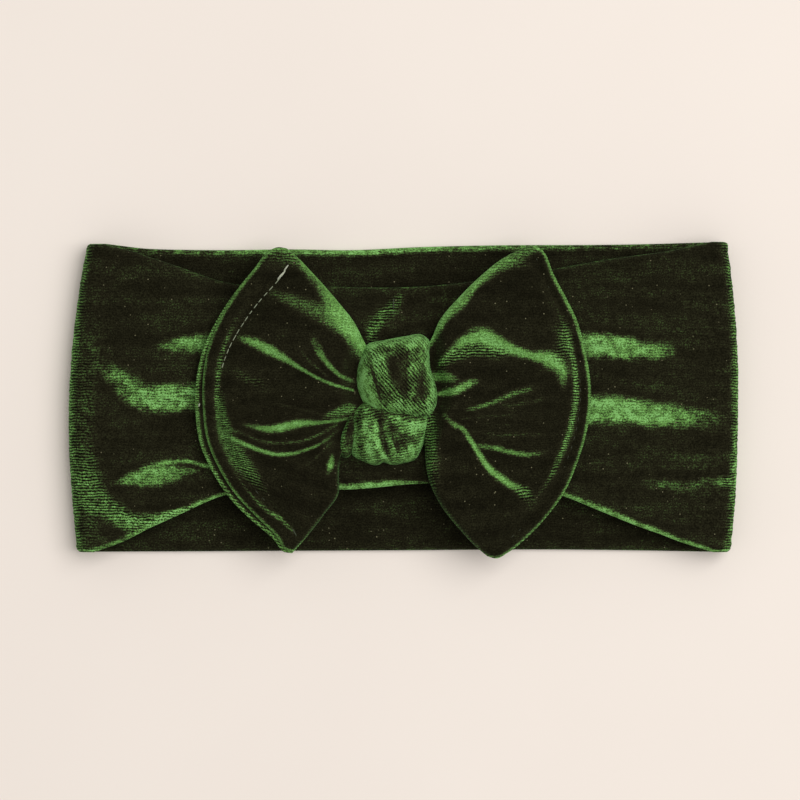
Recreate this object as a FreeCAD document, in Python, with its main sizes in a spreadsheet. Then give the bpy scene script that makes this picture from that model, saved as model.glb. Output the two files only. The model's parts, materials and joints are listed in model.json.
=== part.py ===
"""Knotted velvet headband, lying flat: a doubled cloth loop with a tied bow on its front.

Frame: +X along the flat loop, +Y towards its upper edge, +Z up from the surface that it lies on.
The origin is the middle of that footprint. Lengths are in millimetres.

The cloth loop bends everywhere, so it is cut here into ten flat panels that meet at creases:
back centre, and on each side back inner, back outer, end fold, front outer and front inner,
closed by the front centre. Each panel has a face ply and a lining ply.
"""

import FreeCAD, Part
import math
import os

SIZES = {
    # the loop
    "flat_width": 180.0,        # fold to fold, lying flat
    "band_height": 83.0,        # across the band
    "ply": 1.0,                 # one layer of stretch velvet
    "loop_gap": 5.5,            # clear height between the back and front layers
    "pitches": 2.5,             # panel lengths from the loop's centre to each end fold
    "crease_gap": 0.5,          # from a panel's edge to the crease axis
    # the front layer's edges, where the knot gathers it
    "gather_low": 22.9,         # lower edge below the origin, at the centre panel
    "gather_high": 29.0,        # upper edge above the origin, at the centre panel
    "crease_low": 28.5,         # the same at the outer crease
    "crease_high": 33.5,
    "crease_ply": 1.2,          # ply thickness there, as the cloth bunches
    "gather_ply": 1.5,          # ply thickness at the centre panel
    # the bow
    "bow_middle": -2.8,         # the knot's middle, along the band
    "bow_floor": 12.0,          # underside of the wings
    "knot_width": 23.0,
    "hinge_reach": 12.4,        # from the knot's middle to each wing's crease axis
    "neck_start": 0.8,          # from that axis to the wing's cloth
    "neck_low": 9.0,            # half widths of the gathered neck
    "neck_split": 14.7,         # where the back ply ends and the front ply starts
    "neck_top": 18.4,
    "wing_length": 40.3,        # from the axis to the hem's furthest point
    "hem_radius": 47.0,
    "wing_flare": 1.75,         # how fast a wing widens, per millimetre of length
    "wing_ply": 0.9,
    "stitch_inset": 3.4,        # hem stitching, in from the curved edge
    "hem_half_angle": 52.0,     # the stitching's reach either side of the wing's middle
    # the knot
    "wrap_y": 4.6,              # axis of the upper wrap
    "wrap_radius": 12.6,
    "wrap_inner": 8.4,
    "core_radius": 8.0,
    "lobe_y": -13.4,            # axis of the lower wrap
    "lobe_radius": 5.2,
    "knot_floor": 10.6,
    # sewing thread
    "thread_radius": 0.18,
    "stitch_length": 2.6,
    "stitch_pitch": 3.5,
    "thread_lift": 0.05,        # from the cloth to a stitch that lies on it
    "tack_x": 6.0,              # tacks under the knot, either side of its middle
    "tack_low": -8.0,
    "tack_high": 10.0,
}

doc = FreeCAD.newDocument("knotted_headband")
sheet = doc.addObject("Spreadsheet::Sheet", "Sizes")
for row, (alias, value) in enumerate(SIZES.items(), start=1):
    sheet.set(f"A{row}", alias)
    sheet.set(f"B{row}", repr(value))
    sheet.setAlias(f"B{row}", alias)
doc.recompute()

# sizes worked out from the driving ones
DERIVED = {
    "fold_radius": "ply * 2 + loop_gap / 2",
    "fold_x": "flat_width / 2 - fold_radius",
    "panel": "fold_x / pitches",
    "front_z": "ply * 2 + loop_gap",
}
for row, (alias, formula) in enumerate(DERIVED.items(), start=len(SIZES) + 2):
    sheet.set(f"A{row}", alias)
    sheet.set(f"B{row}", "=" + formula)
    sheet.setAlias(f"B{row}", alias)
doc.recompute()

PANEL = "Sizes.panel"
SIDES = ((-1, "left"), (1, "right"))
made = []


def size(alias):
    return float(sheet.get(alias))


def bind(obj, **formulas):
    """Binds an object's properties to the sheet. Double underscores stand for dots."""
    for prop, formula in formulas.items():
        obj.setExpression(prop.replace("__", "."), formula)


def keep(obj, label):
    obj.Label = label
    made.append(obj)
    return obj


def place(obj, x="0", y="0", z="0", yaw=0.0):
    obj.Placement = FreeCAD.Placement(
        FreeCAD.Vector(), FreeCAD.Rotation(FreeCAD.Vector(0, 0, 1), yaw)
    )
    bind(obj, Placement__Base__x=x, Placement__Base__y=y, Placement__Base__z=z)


def ref(word):
    return "Sizes." + word


# ---------------------------------------------------------------- the loop


def back_panel(label, start, length, z):
    """A flat panel of one ply of the back layer, at its full height."""
    box = doc.addObject("Part::Box", label)
    bind(box, Length=length, Width=ref("band_height"), Height=ref("ply"))
    place(box, start, "-Sizes.band_height / 2", z)
    return keep(box, label)


def back_layer():
    gap = ref("crease_gap")
    between_creases = f"{PANEL} - 2 * {gap}"
    crease_to_fold = f"{PANEL} - {gap}"
    spans = {
        "center": (f"-{PANEL} / 2 + {gap}", between_creases),
        "left_inner": (f"-{PANEL} * 1.5 + {gap}", between_creases),
        "right_inner": (f"{PANEL} * 0.5 + {gap}", between_creases),
        "left_outer": (f"-{ref('fold_x')}", crease_to_fold),
        "right_outer": (f"{PANEL} * 1.5 + {gap}", crease_to_fold),
    }
    for ply_name, z in (("face", "0"), ("lining", ref("ply"))):
        for name, (start, length) in spans.items():
            back_panel(f"back_{name}_{ply_name}", start, length, z)


def front_panel(label, side, near, far, near_edges, far_edges, near_z, far_z):
    """A tapering panel of one ply of the front layer.

    It runs outwards from near to far. Edges are (low, high) distances from the middle line,
    and z levels are (bottom, top), each as a formula.
    """
    wedge = doc.addObject("Part::Wedge", label)
    low, high = (0, 1) if side < 0 else (1, 0)
    bind(
        wedge,
        Ymin=near,
        Ymax=far,
        Xmin=f"-({near_edges[low]})",
        Xmax=near_edges[high],
        X2min=f"-({far_edges[low]})",
        X2max=far_edges[high],
        Zmin=near_z[0],
        Zmax=near_z[1],
        Z2min=far_z[0],
        Z2max=far_z[1],
    )
    place(wedge, yaw=90.0 if side < 0 else -90.0)
    return keep(wedge, label)


def front_layer():
    gap, front = ref("crease_gap"), ref("front_z")
    plies = {"center": ref("gather_ply"), "crease": ref("crease_ply"), "end": ref("ply")}
    edges = {
        "center": (ref("gather_low"), ref("gather_high")),
        "crease": (ref("crease_low"), ref("crease_high")),
        "end": ("Sizes.band_height / 2", "Sizes.band_height / 2"),
    }

    def levels(place_name, ply_name):
        ply = plies[place_name]
        if ply_name == "lining":
            return (front, f"{front} + {ply}")
        return (f"{front} + {ply}", f"{front} + 2 * {ply}")

    for ply_name in ("face", "lining"):
        center = doc.addObject("Part::Box", f"front_center_{ply_name}")
        bind(
            center,
            Length=f"{PANEL} - 2 * {gap}",
            Width="Sizes.gather_low + Sizes.gather_high",
            Height=ref("gather_ply"),
        )
        place(
            center,
            f"-{PANEL} / 2 + {gap}",
            "-Sizes.gather_low",
            levels("center", ply_name)[0],
        )
        keep(center, f"front_center_{ply_name}")
        for side, side_name in SIDES:
            front_panel(
                f"front_{side_name}_inner_{ply_name}",
                side,
                f"{PANEL} * 0.5 + {gap}",
                f"{PANEL} * 1.5 - {gap}",
                edges["center"],
                edges["crease"],
                levels("center", ply_name),
                levels("crease", ply_name),
            )
            front_panel(
                f"front_{side_name}_outer_{ply_name}",
                side,
                f"{PANEL} * 1.5 + {gap}",
                ref("fold_x"),
                edges["crease"],
                edges["end"],
                levels("crease", ply_name),
                levels("end", ply_name),
            )


def end_fold(side, side_name, ply_name, outer):
    """Half a tube, where the cloth turns over at one end of the flat loop."""
    label = f"{side_name}_end_fold_{ply_name}"
    shells = []
    for suffix, radius in (("outer", outer), ("inner", f"{outer} - {ref('ply')}")):
        half = doc.addObject("Part::Cylinder", f"{label}_{suffix}")
        half.Angle = 180.0
        bind(half, Radius=radius, Height=ref("band_height"))
        half.Placement = FreeCAD.Placement(
            FreeCAD.Vector(),
            FreeCAD.Rotation(FreeCAD.Vector(1, 0, 0), -90)
            * FreeCAD.Rotation(FreeCAD.Vector(0, 0, 1), 90 if side < 0 else -90),
        )
        bind(
            half,
            Placement__Base__x=f"{side} * {ref('fold_x')}",
            Placement__Base__y="-Sizes.band_height / 2",
            Placement__Base__z=ref("fold_radius"),
        )
        shells.append(half)
    fold = doc.addObject("Part::Cut", label)
    fold.Base, fold.Tool = shells
    return keep(fold, label)


def end_folds():
    for side, side_name in SIDES:
        end_fold(side, side_name, "face", ref("fold_radius"))
        end_fold(side, side_name, "lining", f"{ref('fold_radius')} - {ref('ply')}")


# ---------------------------------------------------------------- the bow


def wing_ply(side, side_name, ply_name, neck_z, hem_z):
    """One ply of a wing: bunched at the neck, thin at the hem, with a round outer edge."""
    label = f"{side_name}_wing_{ply_name}_ply"
    axis_x = f"({ref('bow_middle')} + {side} * {ref('hinge_reach')})"
    fan = doc.addObject("Part::Wedge", f"{label}_fan")
    half_far = "Sizes.neck_low + Sizes.wing_flare * Sizes.wing_length"
    bind(
        fan,
        Ymin=ref("neck_start"),
        Ymax=ref("wing_length"),
        Xmin="-Sizes.neck_low",
        Xmax=ref("neck_low"),
        X2min=f"-({half_far})",
        X2max=half_far,
        Zmin=neck_z[0],
        Zmax=neck_z[1],
        Z2min=hem_z[0],
        Z2max=hem_z[1],
    )
    place(fan, axis_x, yaw=90.0 if side < 0 else -90.0)
    rim = doc.addObject("Part::Cylinder", f"{label}_rim")
    bind(rim, Radius=ref("hem_radius"), Height=ref("flat_width"))
    place(rim, f"{axis_x} + {side} * (Sizes.wing_length - Sizes.hem_radius)")
    ply = doc.addObject("Part::Common", label)
    ply.Base, ply.Tool = fan, rim
    return keep(ply, label)


def wings():
    floor, split, top = ref("bow_floor"), ref("neck_split"), ref("neck_top")
    hem_middle = f"{floor} + {ref('wing_ply')}"
    for side, side_name in SIDES:
        wing_ply(side, side_name, "back", (floor, split), (floor, hem_middle))
        wing_ply(
            side,
            side_name,
            "front",
            (split, top),
            (hem_middle, f"{floor} + 2 * {ref('wing_ply')}"),
        )


def half_round(label, radius, y, inner=None):
    """A half cylinder that lies across the knot with its flat side down, hollow if inner is given."""
    rounds = []
    for suffix, formula in (("outer", radius), ("inner", inner)):
        if formula is None:
            continue
        half = doc.addObject("Part::Cylinder", f"{label}_{suffix}")
        half.Angle = 180.0
        bind(half, Radius=formula, Height=ref("knot_width"))
        half.Placement = FreeCAD.Placement(
            FreeCAD.Vector(),
            FreeCAD.Rotation(FreeCAD.Vector(0, 0, 1), 90)
            * FreeCAD.Rotation(FreeCAD.Vector(1, 0, 0), 90),
        )
        bind(
            half,
            Placement__Base__x="Sizes.bow_middle - Sizes.knot_width / 2",
            Placement__Base__y=y,
            Placement__Base__z=ref("knot_floor"),
        )
        rounds.append(half)
    if len(rounds) == 1:
        return keep(rounds[0], label)
    wrap = doc.addObject("Part::Cut", label)
    wrap.Base, wrap.Tool = rounds
    return keep(wrap, label)


def knot():
    half_round("knot_upper_wrap", ref("wrap_radius"), ref("wrap_y"), ref("wrap_inner"))
    half_round("knot_core", ref("core_radius"), ref("wrap_y"))
    half_round("knot_lower_wrap", ref("lobe_radius"), ref("lobe_y"))


# ---------------------------------------------------------------- sewing thread


def stitch(start, end):
    """One round-section stitch between two points."""
    run = end - start
    return Part.makeCylinder(size("thread_radius"), run.Length, start, run)


def thread_node(label, stitches):
    node = doc.addObject("Part::Feature", label)
    node.Shape = Part.makeCompound(stitches)
    return keep(node, label)


def row_of_stitches(x, low, high, z):
    """Running stitches in a straight row along Y."""
    count = int((high - low) / size("stitch_pitch"))
    first = (low + high) / 2 - count * size("stitch_pitch") / 2
    return [
        stitch(
            FreeCAD.Vector(x, first + index * size("stitch_pitch"), z),
            FreeCAD.Vector(
                x, first + index * size("stitch_pitch") + size("stitch_length"), z
            ),
        )
        for index in range(count)
    ]


def hem_stitches(side, side_name):
    """Stitches along a wing's curved hem, lying on the front ply."""
    axis_x = size("bow_middle") + side * size("hinge_reach")
    centre_x = axis_x + side * (size("wing_length") - size("hem_radius"))
    radius = size("hem_radius") - size("stitch_inset")
    tip_angle = math.radians(size("hem_half_angle"))
    count = int(2 * tip_angle * radius / size("stitch_pitch"))
    neck_top, hem_top = size("neck_top"), size("bow_floor") + 2 * size("wing_ply")
    slope = (hem_top - neck_top) / (size("wing_length") - size("neck_start"))

    def on_ply(angle):
        x = centre_x + side * radius * math.cos(angle)
        along = side * (x - axis_x) - size("neck_start")
        lift = size("thread_radius") + size("thread_lift")
        return FreeCAD.Vector(x, radius * math.sin(angle), neck_top + slope * along + lift)

    step = size("stitch_pitch") / radius
    reach = size("stitch_length") / radius
    first = -step * (count - 1) / 2 - reach / 2
    return thread_node(
        f"{side_name}_wing_hem_thread",
        [
            stitch(on_ply(first + index * step), on_ply(first + index * step + reach))
            for index in range(count)
        ],
    )


def threads():
    radius = size("thread_radius")
    under_front = size("front_z") - radius - size("thread_lift")
    over_back = 2 * size("ply") + radius + size("thread_lift")
    half = size("band_height") / 2
    thread_node(
        "center_back_seam_thread",
        row_of_stitches(0.0, -half, half, over_back),
    )
    thread_node(
        "gathering_thread",
        row_of_stitches(
            size("bow_middle"), -size("gather_low"), size("gather_high"), under_front
        ),
    )
    bar = size("stitch_length") / 2
    corners = [
        (side * size("tack_x"), y)
        for y in (size("tack_low"), size("tack_high"))
        for side, _ in SIDES
    ]
    thread_node(
        "knot_tack_thread",
        [
            stitch(
                FreeCAD.Vector(size("bow_middle") + x - bar, y, under_front),
                FreeCAD.Vector(size("bow_middle") + x + bar, y, under_front),
            )
            for x, y in corners
        ],
    )
    for side, side_name in SIDES:
        hem_stitches(side, side_name)


# ---------------------------------------------------------------- build and write


def check():
    """Stops if an object failed or a sub-part's shape is empty or not valid."""
    for obj in doc.Objects:
        if {"Invalid", "Error"} & set(obj.State):
            raise SystemExit(f"{obj.Label} failed: {obj.State}")
    for obj in made:
        if obj.Shape.isNull() or not obj.Shape.isValid() or obj.Shape.Volume <= 0:
            raise SystemExit(f"{obj.Label} has no valid shape")


back_layer()
front_layer()
end_folds()
wings()
knot()
threads()
doc.recompute()
check()
os.makedirs("parts", exist_ok=True)
for obj in made:
    obj.Shape.exportStep(f"parts/{obj.Label}.step")
whole = Part.makeCompound([obj.Shape for obj in made]).BoundBox
print(len(made), "nodes", whole)
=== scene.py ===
"""Knotted velvet headband: the visual model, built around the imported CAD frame.

The frame is in metres. This script works in millimetres, along +X, across the band +Y and up +Z,
and turns them to metres when a mesh is made.
"""

import json
import math

import bpy
import numpy as np
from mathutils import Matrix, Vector


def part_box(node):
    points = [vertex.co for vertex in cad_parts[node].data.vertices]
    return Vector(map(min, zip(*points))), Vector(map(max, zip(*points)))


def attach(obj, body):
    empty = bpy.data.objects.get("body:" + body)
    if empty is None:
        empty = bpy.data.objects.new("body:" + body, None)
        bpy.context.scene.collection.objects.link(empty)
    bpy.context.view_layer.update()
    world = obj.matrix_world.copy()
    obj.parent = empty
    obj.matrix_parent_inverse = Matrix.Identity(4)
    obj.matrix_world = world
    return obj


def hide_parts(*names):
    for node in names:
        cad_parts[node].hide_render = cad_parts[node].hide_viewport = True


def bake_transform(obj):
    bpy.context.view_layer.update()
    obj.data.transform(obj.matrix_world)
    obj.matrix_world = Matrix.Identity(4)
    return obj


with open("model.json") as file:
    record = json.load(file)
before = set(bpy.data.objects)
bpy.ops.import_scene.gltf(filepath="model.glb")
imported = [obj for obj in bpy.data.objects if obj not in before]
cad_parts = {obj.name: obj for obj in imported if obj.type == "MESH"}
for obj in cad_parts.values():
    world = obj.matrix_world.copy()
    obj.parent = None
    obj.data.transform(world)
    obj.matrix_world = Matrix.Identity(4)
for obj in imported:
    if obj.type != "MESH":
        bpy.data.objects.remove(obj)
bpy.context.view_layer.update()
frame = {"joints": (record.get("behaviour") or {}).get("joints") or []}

MM = 0.001
CLOTH_PITCH = 0.77      # from rib to rib of the knit
SIDES = ((-1, "left"), (1, "right"))


# ---------------------------------------------------------------- sizes from the frame


def corners(node):
    """Lowest and highest corner of a CAD node, in millimetres."""
    low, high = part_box(node)
    return np.array(low) / MM, np.array(high) / MM


def axis_of(joint):
    """A point on a joint's axis, in millimetres."""
    return next(np.array(j["pos_m"]) / MM for j in frame["joints"] if j["name"] == joint)


BACK_TOP = corners("back_center_lining")[1][2]
FRONT_BOTTOM = corners("front_center_lining")[0][2]
BACK_MIDDLE = BACK_TOP / 2
CLOTH = BACK_TOP                        # both plies together
FRONT_MIDDLE = FRONT_BOTTOM + CLOTH / 2
FOLD_MIDDLE = (BACK_MIDDLE + FRONT_MIDDLE) / 2
FOLD_RADIUS = FRONT_MIDDLE - FOLD_MIDDLE
CREASE = abs(axis_of("left_back_inner_crease")[0])
PANEL = 2 * CREASE                      # from panel middle to panel middle
LIFT = {side: axis_of(f"{side}_wing_lift") for _, side in SIDES}
BOW_MIDDLE = (LIFT["left"][0] + LIFT["right"][0]) / 2
WING_FLOOR = corners("left_wing_back_ply")[0][2]
WING_SPLIT = WING_FLOOR + 0.9           # where a wing's front ply sits on its back ply
KNOT_BASE = FRONT_BOTTOM + CLOTH        # the front layer's upper side
KNOT_TOP = corners("knot_upper_wrap")[1][2]


# ---------------------------------------------------------------- curves and folds


def ease(t):
    """0 to 1 with a soft start and end."""
    t = np.clip(t, 0, 1)
    return t * t * (3 - 2 * t)


def hermite(knots, values, slopes, at):
    """Cubic curve through values at knots, read at any array of places."""
    i = np.clip(np.searchsorted(knots, at, side="right") - 1, 0, len(knots) - 2)
    step = knots[i + 1] - knots[i]
    t = np.clip((at - knots[i]) / step, 0, 1)
    if values.ndim > 1:
        t, step = t[..., None], step[..., None]
    return (
        (2 * t**3 - 3 * t**2 + 1) * values[i]
        + (t**3 - 2 * t**2 + t) * step * slopes[i]
        + (3 * t**2 - 2 * t**3) * values[i + 1]
        + (t**3 - t**2) * step * slopes[i + 1]
    )


def level(points, x):
    """The height at x of a smooth line through (x, height) points."""
    p = np.array(points, float)
    return hermite(p[:, 0], p[:, 1], np.gradient(p[:, 1], p[:, 0]), np.asarray(x, float))


def lengths(points):
    """How far along a line each of its points lies."""
    return np.r_[0, np.cumsum(np.linalg.norm(np.diff(points, axis=0), axis=1))]


def route(points, at):
    """Points at shares 0 to 1 of the way along a smooth line through given points."""
    p = np.array(points, float)
    knots = lengths(p)
    knots /= knots[-1]
    return hermite(knots, p, np.gradient(p, knots, axis=0), np.asarray(at, float))


def ring(points, count):
    """A closed smooth line through points, as count points."""
    p = np.array(points, float)
    wrap = 2
    padded = np.concatenate([p[-wrap:], p, p[: wrap + 1]])
    knots = lengths(padded)
    start, end = knots[wrap], knots[wrap + len(p)]
    at = start + (end - start) * np.arange(count) / count
    return hermite(knots, padded, np.gradient(padded, knots, axis=0), at)


def away_from(centre, line):
    """Unit vectors square to a line at each of its points, on the side away from centre."""
    run = np.gradient(line, axis=0)
    run /= np.linalg.norm(run, axis=1, keepdims=True)
    square = np.stack([run[:, 1], -run[:, 0]], 1)
    return square * np.sign((square * (line - np.array(centre))).sum(1, keepdims=True))


def read_along(values, share):
    """A single value, or a sequence read at even steps, at shares 0 to 1 of the way along a line."""
    if np.ndim(values) == 0:
        return values
    return np.interp(share, np.linspace(0, 1, len(values)), values)


def beside(line, x, y):
    """How far (x, y) lies from a line, positive on its left, and the share of the line there."""
    shape = np.shape(x)
    spots = np.stack([np.ravel(x), np.ravel(y)], 1)
    start, run = line[:-1], np.diff(line, axis=0)
    length2 = (run**2).sum(1)
    away, share = np.empty(len(spots)), np.empty(len(spots))
    batch = 4000    # keeps the table of gaps small
    for first in range(0, len(spots), batch):
        part = slice(first, first + batch)
        from_start = spots[part, None] - start
        t = np.clip((from_start * run).sum(2) / length2, 0, 1)
        gap = spots[part, None] - (start + t[..., None] * run)
        distance2 = (gap**2).sum(2)
        best = distance2.argmin(1)
        row = np.arange(len(best))
        g, r = gap[row, best], run[best]
        side = np.where(r[:, 0] * g[:, 1] - r[:, 1] * g[:, 0] < 0, -1.0, 1.0)
        away[part] = side * np.sqrt(distance2[row, best])
        share[part] = (best + t[row, best]) / len(run)
    return away.reshape(shape), share.reshape(shape)


PLAIN_RIBS = 0.22       # how plainly the knit shows where there is no fold


def fold(points, width, glow, drop=0, reach=4, ribs=0.25, right=None):
    """One fold of the cloth, along a line through given points.

    The cloth rises by drop across it, from its right side to its left, and comes back level over
    reach. Its colour takes painted sheen by glow, or painted shade below 0, over a band that reaches
    width to each side of the line, or right to its right side. ribs is how plainly the knit shows there.
    A sequence is read at even steps along the line.
    """
    right = width if right is None else right
    return dict(points=points, left=width, right=right, glow=glow, drop=drop, reach=reach, ribs=ribs)


def fold_fields(table, x, y):
    """Relief, painted sheen and shade, and rib strength of all the folds in a table."""
    relief, ribs = np.zeros(np.shape(x)), np.full(np.shape(x), PLAIN_RIBS)
    dark, shade = np.ones(np.shape(x)), np.ones(np.shape(x))
    for f in table:
        line = route(f["points"], np.linspace(0, 1, 41))
        away, share = beside(line, x, y)
        left, right, glow, drop = (read_along(f[key], share) for key in ("left", "right", "glow", "drop"))
        width = np.maximum(left + right, 0.3)
        soft = np.clip(0.40 * width, 0.28, 1.8)
        inside = ease(0.5 + (left - away) / (2 * soft)) * ease(0.5 + (right + away) / (2 * soft))
        past = np.minimum(*(np.hypot(x - end[0], y - end[1]) for end in (line[0], line[-1])))
        inside = inside * np.where((share <= 0) | (share >= 1), np.exp(-((past / width) ** 2)), 1.0)
        centred = away - (left - right) / 2
        relief += drop / 2 * np.tanh(2.2 * centred / width) * np.exp(-np.abs(centred) / f["reach"])
        # painted sheen where glow is above 0, painted shade where it is below
        dark *= 1 - np.clip(glow, 0, 1) * inside
        shade *= 1 - np.clip(-glow, 0, 1) * inside
        ribs += (f["ribs"] - ribs) * inside
    return relief, (1 - dark) * shade - 0.12 * (1 - shade), ribs


def roundness(away, radius):
    """0 at an edge, rising like a quarter circle to 1 at radius from it."""
    t = np.clip(away / radius, 0, 1)
    return np.sqrt(np.clip(1 - (1 - t) ** 2, 0, 1))


def ripple(x, y, seed, size):
    """Slow uneven waves of about size, between -1 and 1."""
    rng = np.random.default_rng(seed)
    total = np.zeros(np.shape(x))
    for _ in range(7):
        angle = rng.uniform(0, math.pi)
        pace = 2 * math.pi / (size * rng.uniform(0.7, 1.6))
        shift = rng.uniform(0, 2 * math.pi)
        total += np.sin(pace * (x * math.cos(angle) + y * math.sin(angle)) + shift)
    return total / 4


# ---------------------------------------------------------------- meshes


def grid_faces(rows, columns, closed=False):
    """Quads of a grid of rows x columns points, closed along its columns if asked."""
    index = np.arange(rows * columns).reshape(rows, columns)
    if closed:
        index = np.concatenate([index, index[:, :1]], 1)
    return np.stack([index[:-1, :-1], index[:-1, 1:], index[1:, 1:], index[1:, :-1]], -1).reshape(-1, 4)


def newell(points, faces):
    """The doubled area vector of each quad."""
    a, b, c, d = (points[faces[:, k]] for k in range(4))
    return np.cross(c - a, d - b)


def piece(name, material, points, faces, cloth, glow=0.0, ribs=0.25, shine=0.5, normals=None):
    """A smooth mesh object.

    Each point keeps its place in the cloth, how much painted sheen or painted shade its colour takes (glow,
    and shine times the tilt of the surface), and how plainly the knit's ribs show.
    """
    mesh = bpy.data.meshes.new(name)
    mesh.from_pydata((points * MM).tolist(), [], [list(map(int, f)) for f in faces])
    mesh.validate()
    mesh.update()
    mesh.shade_smooth()
    if normals is None:
        normals = np.empty(len(mesh.vertices) * 3, np.float32)
        mesh.vertex_normals.foreach_get("vector", normals)
        normals = normals.reshape(-1, 3)
    else:
        mesh.normals_split_custom_set_from_vertices(normals.tolist())
    # painted sheen: the colour lightens by shine where the surface tilts, on top of the painted sheen or
    # shade in glow
    tilt = np.sqrt(np.clip(1 - normals[:, 2] ** 2, 0, 1))
    lit = 1 - (1 - np.clip(glow, -1, 1)) * (1 - shine * ease((tilt - 0.25) / 0.75))
    for key, value in (("lit", lit), ("ribs", ribs)):
        field = np.broadcast_to(value, (len(points),)).astype(np.float32)
        mesh.attributes.new(key, "FLOAT", "POINT").data.foreach_set("value", field)
    place = np.column_stack([cloth, points[:, 2]]).astype(np.float32)
    mesh.attributes.new("cloth", "FLOAT_VECTOR", "POINT").data.foreach_set("vector", place.ravel())
    mesh.materials.append(material)
    obj = bpy.data.objects.new(name, mesh)
    bpy.context.scene.collection.objects.link(obj)
    return obj


def surface_normals(points, faces):
    """Area-weighted normals of a mesh given as arrays of quads."""
    face = newell(points, faces)
    total = np.zeros_like(points)
    for k in range(4):
        np.add.at(total, faces[:, k], face)
    return total / np.maximum(np.linalg.norm(total, axis=1, keepdims=True), 1e-12)


# ---------------------------------------------------------------- materials


class Nodes:
    """Short calls for building a node tree."""

    def __init__(self, name):
        self.material = bpy.data.materials.new(name)
        self.material.use_nodes = True
        self.tree = self.material.node_tree
        self.shader = self.tree.nodes["Principled BSDF"]

    def add(self, kind, inputs=None, **settings):
        node = self.tree.nodes.new(kind)
        for key, value in settings.items():
            setattr(node, key, value)
        for key, value in (inputs or {}).items():
            if isinstance(value, bpy.types.NodeSocket):
                self.tree.links.new(value, node.inputs[key])
            else:
                node.inputs[key].default_value = value
        return node

    def math(self, operation, *values, clamp=False):
        node = self.add("ShaderNodeMath", dict(enumerate(values)), operation=operation)
        node.use_clamp = clamp
        return node.outputs[0]

    def times(self, a, b):
        return self.math("MULTIPLY", a, b)

    def plus(self, a, b, **settings):
        return self.math("ADD", a, b, **settings)

    def times_plus(self, a, b, c):
        """a times b, plus c."""
        return self.math("MULTIPLY_ADD", a, b, c)

    def attribute(self, name):
        return self.add("ShaderNodeAttribute", attribute_name=name)

    def noise(self, vector, scale, detail=2.0):
        node = self.add("ShaderNodeTexNoise", {"Vector": vector, "Scale": scale, "Detail": detail})
        return node.outputs["Fac"]

    def span(self, value, low, high, to_low=0.0, to_high=1.0):
        node = self.add(
            "ShaderNodeMapRange",
            {"Value": value, 1: low, 2: high, 3: to_low, 4: to_high},
            interpolation_type="SMOOTHSTEP",
        )
        return node.outputs[0]


# the velvet's colour from flat pile to fully lit, read by the painted sheen and shade
VELVET_STOPS = (
    (0.0, (0.0012, 0.0010, 0.0002)),
    (0.10, (0.0062, 0.0056, 0.0022)),
    (0.28, (0.0175, 0.0170, 0.0078)),
    (0.44, (0.040, 0.070, 0.020)),
    (0.62, (0.078, 0.180, 0.043)),
    (0.82, (0.140, 0.325, 0.072)),
    (1.0, (0.225, 0.505, 0.155)),
)
LINT_COLOUR = (0.24, 0.23, 0.13)


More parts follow.
